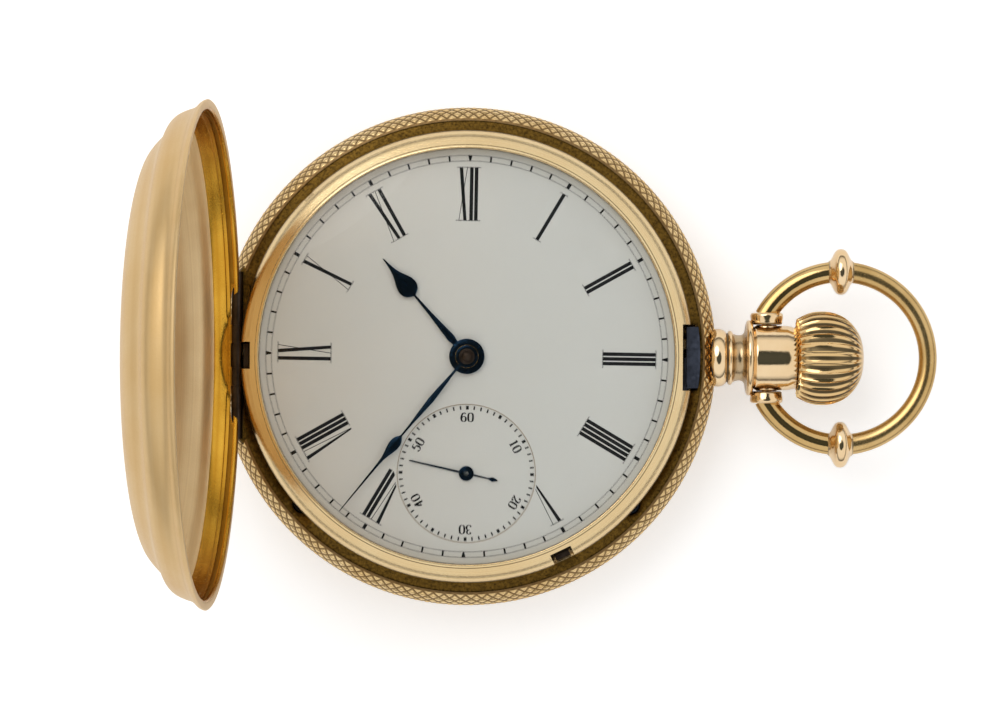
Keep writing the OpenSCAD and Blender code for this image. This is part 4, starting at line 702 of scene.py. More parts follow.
class WATCH_OT_case_band(bpy.types.Operator):
    """Band of the case with its diamond-cut belly"""
    bl_idname = "watch.case_band"
    bl_label = "Case band"

    def execute(self, context):
        case = Measures(context.scene.watch_case)
        coat = coats()
        piece = smooth_copy("case_body", "case_center", [coat["band"], coat["old_steel"]],
                            "watch", "gold")
        mesh = piece.data
        p = mesh_points(mesh) / MM
        r = np.hypot(p[:, 0], p[:, 1])
        low_hinge_z = case.low + case.high - case.hinge_z

        def at_hinge(q):
            off = np.minimum(np.hypot(q[:, 0] + case.hinge_x, q[:, 2] - case.hinge_z),
                             np.hypot(q[:, 0] + case.hinge_x, q[:, 2] - low_hinge_z))
            return (off < 0.8) & (np.abs(q[:, 1]) < 9.3)
        # The belly lies under the cut sleeve: r' = least of r and the belly's radius less 0.5
        trim = (r > 25.3) & ~at_hinge(p)
        new_r = np.where(trim, np.minimum(r, belly_r(case, p[:, 2]) - 0.5), r)
        p[:, :2] *= (new_r / np.maximum(r, 1e-9))[:, None]
        p[:, 2] = np.where(trim, np.clip(p[:, 2], case.low + 0.1, case.high - 0.15), p[:, 2])
        move_points(mesh, p * MM)
        middle = np.empty(len(mesh.polygons) * 3, np.float32)
        mesh.polygons.foreach_get("center", middle)
        knuckle = at_hinge(middle.reshape(-1, 3).astype(float) / MM)
        mesh.polygons.foreach_set("material_index", knuckle.astype(np.int32))
        mesh.set_sharp_from_angle(angle=radians(28))
        self.diamonds(case, coat)
        return {"FINISHED"}

    def diamonds(self, case, coat):
        """Belly cut in diamonds: with s turning cells per turn and t rising one per diamond, each
        point is sunk by depth (1 - h)^2, where h = 2 min(dist(s + t), dist(s - t)) to the nearest
        whole numbers. Rows and columns are an eighth of a diamond apart, so that the cuts run
        through the points of the grid; t below 0 is the plain border beside the flat ring."""
        curve = smooth_path([(25.42, 10.38), (25.62, 10.375), (25.8, 10.34), (26.08, 10.12),
                             (26.4, 9.76), (26.68, 9.32), (26.88, 8.85), (26.98, 8.35),
                             (26.83, 7.65), (26.53, 7.2), (26.13, 6.84)], 400)
        arc = along(curve)
        start = float(np.interp(25.8, curve[:60, 0], arc[:60]))
        cells_high = round((arc[-1] - start) / case.cut_height)
        t_low = -start / (arc[-1] - start) * cells_high
        t = np.arange(-8, cells_high * 8 + 1) / 8
        t = np.concatenate([[t_low], t[t > t_low + 0.04]])[:, None]
        at = np.clip(start + t[:, 0] / cells_high * (arc[-1] - start), 0, arc[-1])
        path = np.stack([np.interp(at, arc, curve[:, k]) for k in (0, 1)], 1)
        columns = case.cells * 8
        s = (np.arange(columns) / 8)[None]
        a, b = s + t, s - t
        height = 2 * np.minimum(np.abs(a - np.round(a)), np.abs(b - np.round(b)))
        fade = np.where(t < 0, np.clip(1 + t * 5, 0, 1), 1.0)
        sink = case.cut_depth * (1 - height) ** 2 * fade
        out = square_to(path)[1]
        angle = s * 2 * np.pi / case.cells
        r = path[:, :1] - out[:, :1] * sink
        z = path[:, 1:] - out[:, 1:] * sink
        front = around(r, z, angle)
        back_path = (path - out * 0.3)[::-12]
        back = around(back_path[:, :1], back_path[:, 1:], angle)
        # Darker in the cuts' valleys, and as painted shade on the plain border beside the flat ring,
        # under the bezel
        groove = np.maximum(np.clip((0.5 - height) / 0.35, 0, 1) * fade,
                            np.clip(-t * 8, 0, 0.9))
        groove = np.concatenate([groove.ravel(), np.zeros(back.shape[0] * columns)])
        make_piece("band_diamonds", [shell(net(np.concatenate([front, back]), rows_closed=True),
                                           0, groove)], [coat["cuts"]], "watch", "gold", sharp=60)


def lid_profile(flat_at):
    """Outside and inside of a cover in its own frame, as (radius, rise): smooth steps from the
    rim up to the crown, with a rounded lip and a snap groove inside the rim."""
    outside = smooth_path([(26.0, 0.1), (25.86, 0.42), (25.45, 0.82), (25.16, 1.25), (24.98, 1.8),
                           (24.72, 2.45), (24.4, 3.0), (23.95, 3.42), (23.3, 3.72),
                           (22.75, 4.0), (22.25, 4.45), (21.6, 5.05), (20.8, 5.62), (19.8, 6.03),
                           (18.5, 6.36), (16.8, 6.6), (14.8, 6.74), (10, 6.79), (5, 6.8),
                           (0, 6.8)], 90)
    outside[:, 1] = np.minimum(outside[:, 1], flat_at)
    inside = np.concatenate([
        smooth_path([(25.12, 0.04), (24.99, 0.14), (24.94, 0.3), (24.94, 0.5)], 8),
        [(25.2, 0.55), (25.2, 0.94)],
        smooth_path([(24.93, 0.98), (24.88, 1.12), (24.82, 1.3)], 4),
        smooth_path([(24.72, 1.38), (24.54, 1.9), (24.3, 2.45), (23.95, 2.86), (23.4, 3.14),
                     (22.8, 3.34), (22.3, 3.6), (21.85, 4.05), (21.2, 4.65), (20.4, 5.22),
                     (19.4, 5.63), (18.2, 5.95), (16.6, 6.2), (14.5, 6.34), (10, 6.39),
                     (5, 6.4), (0, 6.4)], 70)])
    inside[:, 1] = np.minimum(inside[:, 1], flat_at - 0.4)
    rim = np.array([(25.3, 0.0), (25.5, 0.0), (25.7, 0.0), (25.9, 0.0)])
    return outside, inside[::-1], rim


class WATCH_OT_covers(bpy.types.Operator):
    """Front and back covers, domed in smooth steps, with their hinge leaves and knuckles"""
    bl_idname = "watch.covers"
    bl_label = "Covers"

    def execute(self, context):
        case = Measures(context.scene.watch_case)
        coat = coats()
        self.cover(case, coat, "front_cover_gold", "front_cover", 6.8)
        self.cover(case, coat, "back_cover_gold", "back_cover", 6.75)
        smooth_copy("cuvette_gold", "cuvette", [coat["bezel"]], "cuvette", "gold", sharp=12)
        return {"FINISHED"}

    def cover(self, case, coat, name, node, flat_at):
        """A cover as one turned wall, flat where its hinge leaf is, carved for the band's
        knuckles; then turned open about its hinge, or laid face down under the band."""
        outside, inside, rim = lid_profile(flat_at)
        profile = np.concatenate([inside, rim, outside])
        grid = turned(profile, 300)
        n_in = len(inside) + 1
        n_dome = int(np.argmax(inside[:, 0] > 24.0))
        leaf = -case.hinge_x - 0.1
        x, z = grid[..., 0], grid[..., 2]
        wall = np.where(np.arange(len(profile)) < n_in, 0.35, 0.0)[:, None]
        grid[..., 0] = np.where((z <= 2.85) & (x < leaf + wall), leaf + wall, x)
        # Frosted dome, turned and polished wall, and the worn rim and outside
        row = np.arange(len(profile) - 1)
        coat_of = np.repeat(np.where(row < n_dome, 3, np.where(row < n_in - 2, 1, 0)), 300)
        dark = np.exp(-((np.abs(profile[:, 0] - 25.2) + np.abs(profile[:, 1] - 0.75)) / 0.3) ** 2)
        lift = case.hinge_z - case.high - 0.05
        piece = make_piece(name, [lathed(grid, dark, profile, coat_of)],
                           [coat[word] for word in ("lid", "lid_inside", "old_steel", "lid_dome")],
                           node, "gold", (node,))
        near, far = KNUCKLES
        carve(piece, [cutter(rod_y(KNUCKLE_ROOM, -case.hinge_x, lift, low, high, 32))
                      for low, high in ((-near, near), (far, HINGE_HALF), (-HINGE_HALF, -far))])
        self.add_knuckles(piece, case, lift)
        p = mesh_points(piece.data)
        if node == "front_cover":
            p[:, 2] += (case.high + 0.05) * MM
            # Turned about the hinge: X = hx + dx cos a - dz sin a, Z = hz + dx sin a + dz cos a
            dx, dz = p[:, 0] + case.hinge_x * MM, p[:, 2] - case.hinge_z * MM
            a = case.open_angle
            p[:, 0] = -case.hinge_x * MM + dx * np.cos(a) - dz * np.sin(a)
            p[:, 2] = case.hinge_z * MM + dx * np.sin(a) + dz * np.cos(a)
        else:
            # Face down: z' = low edge - gap - z and y' = -y, which keeps the faces outward
            p[:, 2] = (case.low - 0.05) * MM - p[:, 2]
            p[:, 1] = -p[:, 1]
        move_points(piece.data, p)

    def add_knuckles(self, piece, case, lift):
        """Two knuckles, short cylinders round the hinge's axis, joined to the cover's mesh."""
        shape = bmesh.new()
        shape.from_mesh(piece.data)
        for side in (-1, 1):
            low, high = sorted(side * end for end in KNUCKLES)
            points, faces = rod_y(KNUCKLE_R, -case.hinge_x, lift, low, high)
            made = [shape.verts.new(p) for p in (points * MM).tolist()]
            new = [shape.faces.new([made[i] for i in f]) for f in faces.tolist()]
            for face in new:
                face.material_index, face.smooth = 2, True
            bmesh.ops.remove_doubles(shape, verts=made, dist=2e-7)
        shape.to_mesh(piece.data)
        shape.free()
        piece.data.set_sharp_from_angle(angle=radians(32))


class WATCH_OT_bezel(bpy.types.Operator):
    """Bezel and watch glass"""
    bl_idname = "watch.bezel"
    bl_label = "Bezel and glass"

    def execute(self, context):
        case = Measures(context.scene.watch_case)
        coat = coats()
        inner, outer, foot, top = case.window_r, case.bezel_r, case.high, case.high + 3.1
        # Crown of the bezel: steep from its outer step, then a straight slope up to the lip
        crown = smooth_path([(outer - 0.02, foot + 1.2), (outer - 0.14, foot + 1.62),
                             (outer - 0.42, foot + 2.06), (outer - 0.8, foot + 2.42),
                             (inner + 0.75, foot + 2.68), (inner + 0.42, foot + 2.85),
                             (inner + 0.2, top - 0.13)], 34)
        profile = np.concatenate([
            [(23.24, foot), (outer, foot), (outer, foot + 1.0)],
            crown,
            smooth_path([(inner + 0.2, top - 0.13), (inner + 0.1, top - 0.11),
                         (inner + 0.02, top - 0.15), (inner, top - 0.2)], 7)[1:],
            [(inner, top - 0.21), (case.glass_r + 0.04, top - 0.21),
             (case.glass_r + 0.04, top - 0.8), (inner, top - 0.8), (inner, foot + 1.5),
             (23.24, foot + 1.5)]])
        # Painted shade: the bezel's low outer side, over the band's flat ring, takes the dark groove
        # colour
        shaded_low_side = (profile[:, 0] > outer - 0.3) & (profile[:, 1] < foot + 1.5)
        surface = lathed(turned(profile, 320), np.where(shaded_low_side, 0.7, 0.0), profile, closed=True)
        piece = make_piece("bezel_gold", [surface], [coat["bezel"]], "watch", "gold", ("bezel",))
        # Lock spring's head, lift spring's nose, knuckles, setting lever's slot, opening nick
        head, nose, low, high = HEAD_NOTCH, NOSE_NOTCH, foot - 1, 18
        carve(piece, [
            cutter(block((head[0], -head[1], low), (28.2, head[1], high))),
            cutter(block((-25.5, -nose[1], low), (nose[0], nose[1], high))),
            cutter(rod_y(KNUCKLE_ROOM, -case.hinge_x, case.hinge_z, -3.34, 3.34, 32)),
            cutter(block((23.1, -1.2, low), (28, 1.2, high), SETTING_ANGLE)),
            cutter(block((23.9, -0.6, low), (28, 0.6, high), NICK_ANGLE))])
        low = foot + 3.1 - 0.75
        r = case.glass_r * np.linspace(0, 1, 28)
        dome = 1 - (r / case.glass_r) ** 2
        glass = np.concatenate([np.stack([r, low + 0.9 * dome], 1),
                                np.stack([r, low + 0.5 + 1.1 * dome], 1)[::-1]])
        make_piece("watch_glass", [shell(net(turned(glass, 192)))], [coat["glass"]], "watch",
                   "crystal", ("crystal",))
        return {"FINISHED"}


# Pendant, bow and crown

class WATCH_OT_pendant(bpy.types.Operator):
    """Pendant with its moulded neck, collar and bosses"""
    bl_idname = "watch.pendant"
    bl_label = "Pendant"

    def execute(self, context):
        bow = Measures(context.scene.watch_bow)
        coat = coats()
        foot = smooth_path([(26.35, 2.84), (26.6, 3.02), (27.0, 3.14), (27.4, 3.12), (27.75, 2.98),
                            (27.98, 2.78)], 18)
        groove = np.array([(28.02, 2.66), (28.16, 2.64)])
        step = smooth_path([(28.2, 2.84), (28.42, 2.96), (28.62, 2.86), (28.72, 2.7)], 9)
        neck = smooth_path([(28.8, 2.62), (29.1, 2.5), (29.5, 2.46), (29.85, 2.62),
                            (30.02, 3.0), (30.1, 3.55)], 18)
        collar = smooth_path([(30.14, 3.8), (30.26, 4.02), (30.46, 4.1), (30.68, 4.04),
                              (30.84, 3.86), (30.9, 3.6)], 14)
        barrel = np.concatenate([
            smooth_path([(30.95, 3.34), (31.08, 3.42), (31.24, 3.49), (31.4, 3.5)], 8),
            smooth_path([(34.6, 3.5), (34.85, 3.46), (35.3, 3.35), (35.9, 3.19), (36.3, 3.06)],
                        12),
            [(36.4, 2.95), (36.4, 0.95), (26.35, 0.95)]])
        parts = [foot, groove, step, neck, collar, barrel]
        profile = np.concatenate(parts)[:, ::-1]
        # Darker along the profile in the groove and the neck, a little at the foot, step and collar
        dirt_and_shade = np.concatenate([np.full(len(part), level) for part, level in
                               zip(parts, (0.05, 1.0, 0.2, 0.6, 0.15, 0.0))])
        grid = to_x(turned(profile, 120)) + [0, 0, bow.axis_z]
        piece = make_piece("pendant_gold", [lathed(grid, dirt_and_shade, profile, closed=True)],
                           [coat["mirror"]], "watch", "gold", ("pendant",))
        # Room for the bow's eyes on both sides
        carve(piece, [cutter(rod_y(EYE_ROOM, bow.eye_x, bow.axis_z, low, high, 48))
                      for low, high in ((-6, -EYE_FROM), (EYE_FROM, 6))])
        for side, word in ((-1, "low"), (1, "high")):
            boss = smooth_path([(1.2, 2.6), (1.2, 3.3), (1.16, 3.5), (1.04, 3.57)], 8)
            boss = np.concatenate([[(0, 2.6)], boss, [(0, 3.57)]])
            grid = to_y(turned(boss * [1, side], 48)) + [bow.eye_x, 0, bow.axis_z]
            make_piece(f"pendant_boss_{word}", [shell(net(grid))], [coat["mirror"]], "watch",
                       "gold")
        return {"FINISHED"}


class WATCH_OT_bow(bpy.types.Operator):
    """Bow with its two beads and its eyes"""
    bl_idname = "watch.bow"
    bl_label = "Bow"

    def execute(self, context):
        bow = Measures(context.scene.watch_bow)
        coat = coats()
        end = np.arcsin(4.5 / bow.radius)
        angle = np.linspace(end - np.pi, np.pi - end, 200)
        # Bar: an oval carried round an arc, wide at the arms and slender at the far side
        across = np.linspace(0, 2 * np.pi, 32, endpoint=False)
        share = np.clip(np.abs(angle) / (np.pi * 0.5), 0, 1) ** 1.5
        wide = (bow.far + (bow.arm - bow.far) * share)[:, None] / 2
        thick = (bow.thick * (0.93 + 0.07 * share))[:, None] / 2
        far = 0.1 * np.clip(np.cos(angle), 0, 1)[:, None] ** 2
        r = bow.radius + far + wide * np.cos(across)
        bar = around(r, thick * np.sin(across), angle[:, None])
        bar = bar + [bow.middle_x, 0, bow.axis_z]
        # The far side is worn softer than the arms
        points, faces = net(capped(bar))
        shells = [shell((points, faces), np.where(points[faces[:, 0], 0] > bow.middle_x, 1, 0))]
        for side in (-1, 1):
            # Bead: a lens with a rounded edge, whose hollow flanks run out along the bar
            half = smooth_path([(0, 2.5), (0.3, 2.45), (0.55, 2.28), (0.78, 1.95), (0.95, 1.6),
                                (1.12, 1.32), (1.36, 1.12)], 24) * [1, bow.bead_r / 2.5]
            right = np.concatenate([half, [(1.38, 0.0)]])
            profile = np.concatenate([(right * [-1, 1])[::-1], right[1:]])
            grid = to_x(turned(profile[:, ::-1], 64))
            grid = grid + [bow.middle_x, side * bow.radius, bow.axis_z]
            dark = 0.7 * np.exp(-((np.abs(profile[:, 0]) - 1.3) / 0.12) ** 2)
            shells.append(lathed(grid, dark, coat=2))
            # Eye: a cup that holds the bar's end, swelling towards the bar
            cup = np.concatenate([[(0, 3.6)], smooth_path(
                [(1.5, 3.6), (1.64, 3.68), (1.7, 3.95), (1.77, 4.35), (1.78, 4.6), (1.7, 4.8),
                 (1.5, 4.9), (1.3, 4.9)], 18), [(0, 4.9)]])
            grid = to_y(turned(cup * [1, side], 64)) + [bow.eye_x, 0, bow.axis_z]
            dark = np.where((cup[:, 1] < 3.8) | (cup[:, 0] < 1.3), 0.8, 0.0)
            shells.append(lathed(grid, dark, coat=2))
        make_piece("bow_gold", shells, [coat["bow_arm"], coat["bow"], coat["mirror"]], "bow",
                   "gold", ("bow",), sharp=50)
        return {"FINISHED"}


class WATCH_OT_crown(bpy.types.Operator):
    """Fluted ball crown"""
    bl_idname = "watch.crown"
    bl_label = "Crown"

    def execute(self, context):
        bow = Measures(context.scene.watch_bow)
        coat = coats()
        # Meridian: flat about its middle and rounder towards the skirt and the tip
        x, r = smooth_path([(35.65, 4.24), (36.25, 4.55), (36.9, 4.84), (37.5, 5.0), (38.2, 5.06),
                            (38.9, 5.04), (39.6, 4.92), (40.3, 4.69), (41.0, 4.29), (41.6, 3.76),
                            (42.1, 3.12), (42.5, 2.4), (42.78, 1.5), (42.87, 0.8), (42.9, 0.2)],
                           76).T
        r = r * bow.crown_r / 5.06
        # Flutes: hollow in section, sunk (1 - |2p - 1|^2.2) between narrow ridges, shallower at
        # the tip; their ends at the skirt are cut back into teeth
        columns = bow.ribs * 14
        p = (np.arange(columns) / 14 + 0.5) % 1
        hollow = 1 - np.abs(2 * p - 1) ** 2.2
        share = np.clip((x[-1] - x) / 2.2, 0, 1) ** 0.7 * (1 + 0.5 * np.clip(37 - x, 0, 1))
        depth = np.minimum(bow.flute * share, r * 0.045)
        rr = r[:, None] - depth[:, None] * hollow[None]
        back = 0.28 * np.clip(1 - (x - x[0]) / 0.7, 0, 1)[:, None] * hollow[None]
        angle = (np.arange(columns) / columns + 0.25) * 2 * np.pi
        outer = np.stack([x[:, None] + back, rr * np.cos(angle), rr * np.sin(angle)], -1)
        bore = turned(np.array([(0, 37.3), (3.6, 37.3), (3.6, x[0] + 0.05)]), columns)
        grid = np.concatenate([to_x(bore), outer, np.repeat(outer[-1:].mean(1, keepdims=True),
                                                            columns, 1)])
        # Painted reflection: the flute valleys take the crown's dark green-black groove colour
        near = np.clip(0.35 + (x - x[0]) / 1.9, 0, 1) * np.clip((x[-1] - x) / 0.9, 0, 1)
        dark = np.clip((hollow[None] - 0.66) / 0.24, 0, 1) * near[:, None]
        groove = np.concatenate([np.zeros(3 * columns), dark.ravel(), np.zeros(columns)])
        make_piece("crown_gold", [shell(net(grid + [0, 0, bow.axis_z]), 0, groove)],
                   [coat["crown"]], "crown", "gold", ("crown",), sharp=70)
        return {"FINISHED"}


# Dial and hands

def clipped(outer, inner, centre, radius):
    """Where a line from outer to inner meets a circle, or inner if it never does: the least root
    t of |outer + t (inner - outer) - centre| = radius."""
    way, off = inner - outer, outer - centre
    a, b, c = way @ way, 2 * off @ way, off @ off - radius ** 2
    root = b * b - 4 * a * c
    if root <= 0:
        return inner
    t = (-b - np.sqrt(root)) / (2 * a)
    return outer + way * t if 0 < t < 1 else inner


def hour_figure(word, dial, stop):
    """Strokes of a Roman figure as slabs, in mm: u runs clockwise and v outward. I is one thick
    stem; X is a thick stroke from outside left to inside right and a hairline across it; V is a
    thick stroke that narrows inward and a hairline back out. Hairline serifs join the ends."""
    out, end = dial.figure_out, dial.figure_in
    gaps = {"II": 0.51, "VI": 0.98, "XI": 0.89, "IX": 1.02, "IV": 0.98}
    at = [0.0]
    for pair in zip(word, word[1:]):
        at.append(at[-1] + gaps["".join(pair)])
    at = np.array(at) - (at[0] + at[-1]) / 2 + (0.1 if word == "V" else 0)
    strokes = []
    for mark, u in zip(word, at):
        if mark == "I":
            strokes.append((u, u, dial.stem, dial.stem))
        elif mark == "X":
            strokes += [(u - 0.24, u + 0.24, dial.stem, dial.stem * 0.9),
                        (u + 0.42, u - 0.42, dial.hair, dial.hair)]
        else:
            strokes += [(u - 0.26, u + 0.24, dial.stem, dial.hair * 2),
                        (u + 0.55, u + 0.3, dial.hair, dial.hair)]
    slabs = []
    for u_out, u_in, w_out, w_in in strokes:
        edges = [np.array([(u_out + side * w_out / 2, out), (u_in + side * w_in / 2, end)])
                 for side in (-1, 1)]
        slabs.append([np.array([a, stop(a, b)]) for a, b in edges])
    # Serifs: one hairline over the outer ends, one over the inner where the figure isn't cut
    ends = [(min(s[0] - s[2] / 2 for s in strokes), max(s[0] + s[2] / 2 for s in strokes), out),
            (min(s[1] - s[3] / 2 for s in strokes), max(s[1] + s[3] / 2 for s in strokes), end)]
    for low, high, v in ends[:1] if word[0] == "V" and len(word) < 4 else ends:
        whole = np.array([low - 0.3, v]), np.array([high + 0.3, v])
        if v == end and word == "VIII":
            whole = np.array([at[1] - 0.4, v]), whole[1]
        slabs.append([np.stack([whole[0] + [0, s], whole[1] + [0, s]])
                      for s in (dial.hair / 2, -dial.hair / 2)])
    return slabs


DIGITS = {
    "0": [[(0, .5), (.2, .4), (.27, 0), (.2, -.4), (0, -.5), (-.2, -.4), (-.27, 0), (-.2, .4),
           (0, .5)]],
    "1": [[(-.14, .34), (.02, .46)], [(.03, .5), (.03, -.48)], [(-.14, -.48), (.2, -.48)]],
    "2": [[(-.22, .22), (-.2, .4), (0, .5), (.2, .4), (.22, .18), (.08, -.08), (-.16, -.34),
           (-.26, -.46)], [(-.26, -.44), (-.1, -.38), (.08, -.46), (.22, -.42), (.26, -.26)]],
    "3": [[(-.2, .3), (-.14, .46), (.04, .5), (.2, .38), (.18, .16), (.04, .04), (-.06, .04)],
          [(-.06, .04), (.1, .02), (.25, -.1), (.24, -.34), (.06, -.5), (-.14, -.46),
           (-.24, -.3)]],
    "4": [[(.1, .5), (-.28, -.2), (.28, -.2)], [(.1, .5), (.1, -.48)],
          [(-.04, -.48), (.24, -.48)]],
    "5": [[(.22, .46), (-.14, .46)], [(-.14, .46), (-.2, .06)],
          [(-.2, .06), (-.04, .14), (.16, .08), (.25, -.14), (.2, -.38), (.02, -.5), (-.16, -.46),
           (-.24, -.32)]],
    "6": [[(.2, .36), (.1, .48), (-.06, .46), (-.22, .2), (-.27, -.12), (-.2, -.4), (0, -.5),
           (.2, -.4), (.25, -.18), (.18, .02), (0, .08), (-.18, 0), (-.26, -.16)]],
}


def digit(word, centre, size, low, high):
    """One digit as pen strokes: wide where the pen moves up or down and thin where it moves
    across, width = thin + (thick - thin) |dy|^1.5."""
    made = []
    for path in DIGITS[word]:
        sharp = word in "45" and len(path) < 4 or len(path) < 3
        p = np.asarray(path, float) if sharp else smooth_path(path, 26)
        if sharp:
            p = np.concatenate([np.linspace(q, w, 6)[:-1] for q, w in zip(p, p[1:])] + [p[-1:]])
        widths = 0.065 + 0.15 * np.abs(square_to(p)[0][:, 1]) ** 1.5
        made.append(strip(p * size + np.asarray(centre), widths * size, low, high))
    return made


def spun_shell(points_and_faces, degrees):
    """A surface turned round Z."""
    points, faces = points_and_faces
    return shell((spun(points, degrees), faces))


def ticks(out, end, widths, low, high, turn):
    """Sixty ticks, clockwise from the turn. Widths are those of a plain tick, of each fifth and of
    each fifteenth, all as (outer end, inner end)."""
    made = []
    for k in range(60):
        wide = widths[2 if k % 15 == 0 else 1 if k % 5 == 0 else 0]
        made.append(spun_shell(strip([(0, out), (0, end)], wide, low, high), turn - 6 * k))
    return made


class WATCH_OT_dial(bpy.types.Operator):
    """Enamel dial, its printed figures and the sunk seconds dial"""
    bl_idname = "watch.dial"
    bl_label = "Dial"

    def execute(self, context):
        dial = Measures(context.scene.watch_dial)
        coat = coats()
        for node in ("dial", "seconds_dial"):
            recoat(node, coat["enamel"])
        low, high = dial.top - 0.004, dial.top + dial.ink
        centre = np.array([0, -dial.seconds_y])
        extra = -np.degrees(dial.turn)
        shells = []
        for hour, word in enumerate(("XII", "I", "II", "III", "IIII", "V", None, "VII", "VIII",
                                     "IX", "X", "XI")):
            if word:
                turn = extra - 30 * hour
                middle = spun(np.array([[centre[0], centre[1], 0]]), -turn)[0, :2]

                def stop(a, b):
                    return clipped(a, b, middle, dial.seconds_r + 0.22)
                shells += [spun_shell(slab(left, right, low, high), turn)
                           for left, right in hour_figure(word, dial, stop)]
        shells += ticks(dial.track_out, dial.track_in, ((0.2, 0.2), (0.36, 0.36), (0.46, 0.16)),
                        low, high, extra)
        for r in (dial.track_out, dial.track_in):
            ring = [(r - 0.025, low), (r + 0.025, low), (r + 0.025, high), (r - 0.025, high)]
            shells.append(shell(net(turned(ring, 240), rows_closed=True)))
        make_piece("dial_figures", shells, [coat["ink"]], "watch", "enamel")
        self.seconds(dial, coat, centre, extra)
        return {"FINISHED"}

    def seconds(self, dial, coat, centre, extra):
        """Seconds ring: sixty ticks, longer and bolder at each fifth, and six pairs of digits that
        stand outward; and the tan seam where the sunk disc is soldered in."""
        low, high = dial.top - dial.sunk - 0.004, dial.top - dial.sunk + dial.ink
        shells = ticks(*SECONDS_TRACK, ((0.16, 0.16), (0.3, 0.3), (0.3, 0.3)), low, high, extra)
        for k, pair in enumerate(("60", "10", "20", "30", "40", "50")):
            for u, word in ((-0.38, pair[0]), (0.36, pair[1])):
                shells += [spun_shell(stroke, extra - 60 * k) for stroke in
                           digit(word, (u, DIGIT_AT), DIGIT_HIGH, low, high)]
        shift = np.array([*centre, 0])
        shells = [(s[0] + shift, *s[1:]) for s in shells]
        make_piece("seconds_figures", shells, [coat["ink"]], "watch", "enamel")
        r, top = dial.seconds_r, dial.top
        seam = [(r - 0.03, top - dial.sunk - 0.01), (r + 0.06, top - dial.sunk - 0.01),
                (r + 0.06, top + 0.006), (r + 0.02, top + 0.008), (r - 0.01, top - 0.03),
                (r - 0.025, top - 0.1)]
        grid = turned(seam, 160) + shift
        make_piece("seconds_seam", [shell(net(grid, rows_closed=True))], [coat["seam"]], "watch",
                   "enamel")


def blade(stations, low, thick, degrees, centre=(0, 0)):
    """A hand's blade: at each station a crowned section, flat under and rising to the middle,
    z = low + thick (0.45 + 0.55 (1 - v^2)), v from -1 to 1 across it."""
    s = np.asarray(stations, float)
    v = np.linspace(1, -1, 9)
    half = np.maximum(s[:, 1], 0.02)
    rise = np.minimum(thick, half * 1.2 + 0.05)
    top = np.stack([np.repeat(s[:, :1], 9, 1), half[:, None] * v,
                    low + rise[:, None] * (0.45 + 0.55 * (1 - v ** 2))], -1)
    under = np.stack([np.repeat(s[:, :1], 3, 1), half[:, None] * np.array([-1, 0, 1]),
                      np.full((len(s), 3), low)], -1)
    points, faces = net(capped(np.concatenate([top, under], 1)))
    return spun(points, 90 - degrees) + np.array([*centre, 0]), faces


def boss(outer, bore, low, thick, centre=(0, 0)):
    """A hand's boss: a flat ring with a rounded rim, turned round the hand's axis."""
    high = low + thick
    profile = [(bore, low), (outer - 0.03, low), (outer, low + 0.03), (outer, high - 0.06),
               (outer - 0.02, high - 0.02), (outer - 0.08, high), (bore, high)]
    points, faces = net(turned(profile, 72), rows_closed=True)
    return points + np.array([*centre, 0]), faces


class WATCH_OT_hands(bpy.types.Operator):
    """Hour, minute and seconds hands"""
    bl_idname = "watch.hands"
    bl_label = "Hands"

    def execute(self, context):
        dial = Measures(context.scene.watch_dial)
        turn = np.degrees(dial.turn)
        hour = [(1.3, 0.3), (1.9, 0.3), (2.6, 0.42), (3.6, 0.36), (6.0, 0.2), (8.6, 0.11),
                (8.75, 0.42), (9.0, 0.78), (9.35, 1.0), (9.8, 1.08), (10.3, 1.0), (10.8, 0.8),
                (11.3, 0.55), (11.8, 0.36), (12.4, 0.22), (13.0, 0.13), (13.8, 0.05)]
        minute = [(0.95, 0.14), (2.5, 0.14), (4.5, 0.26), (6.0, 0.32), (8.0, 0.22), (9.4, 0.13),
                  (11.0, 0.1), (11.2, 0.2), (11.5, 0.42), (11.9, 0.56), (12.4, 0.58),
                  (13.0, 0.46), (13.6, 0.3), (14.2, 0.18), (15.0, 0.13), (18.0, 0.09),
                  (21.2, 0.05), (21.5, 0.03)]
        z, thick = HAND_Z, HAND_THICK
        self.hand("hour_hand", "hour", blade(hour, z, thick, HOUR_AT + turn),
                  boss(1.9, 1.26, z, thick))
        z = HAND_Z + HAND_STEP
        self.hand("minute_hand", "centre", blade(minute, z, thick, MINUTE_AT + turn),
                  boss(1.2, 0.86, z, thick))
        low = dial.top - dial.sunk + 0.12
        at = (0, -dial.seconds_y)
        tail = [(-3.45, 0.05), (-3.05, 0.2), (-2.9, 0.24), (-2.75, 0.2), (-2.4, 0.07),
                (-0.7, 0.1), (-0.4, 0.12)]
        point = [(0.4, 0.12), (0.7, 0.12), (6.0, 0.075), (6.3, 0.05)]
        self.hand("seconds_hand", "fourth", blade(tail, low, 0.1, SECOND_AT + turn, at),
                  blade(point, low, 0.1, SECOND_AT + turn, at), boss(0.8, 0.26, low, 0.1, at),
                  boss(0.45, 0.26, low + 0.1, 0.17, at))
        return {"FINISHED"}

    def hand(self, node, body, *surfaces):
        """One hand of blued steel, joined of its blades and bosses."""
        make_piece(f"{node}_blued", [shell(surface) for surface in surfaces],
                   [coats()["blued"]], body, "blued_steel", (node,))


# Works, hinges and studio

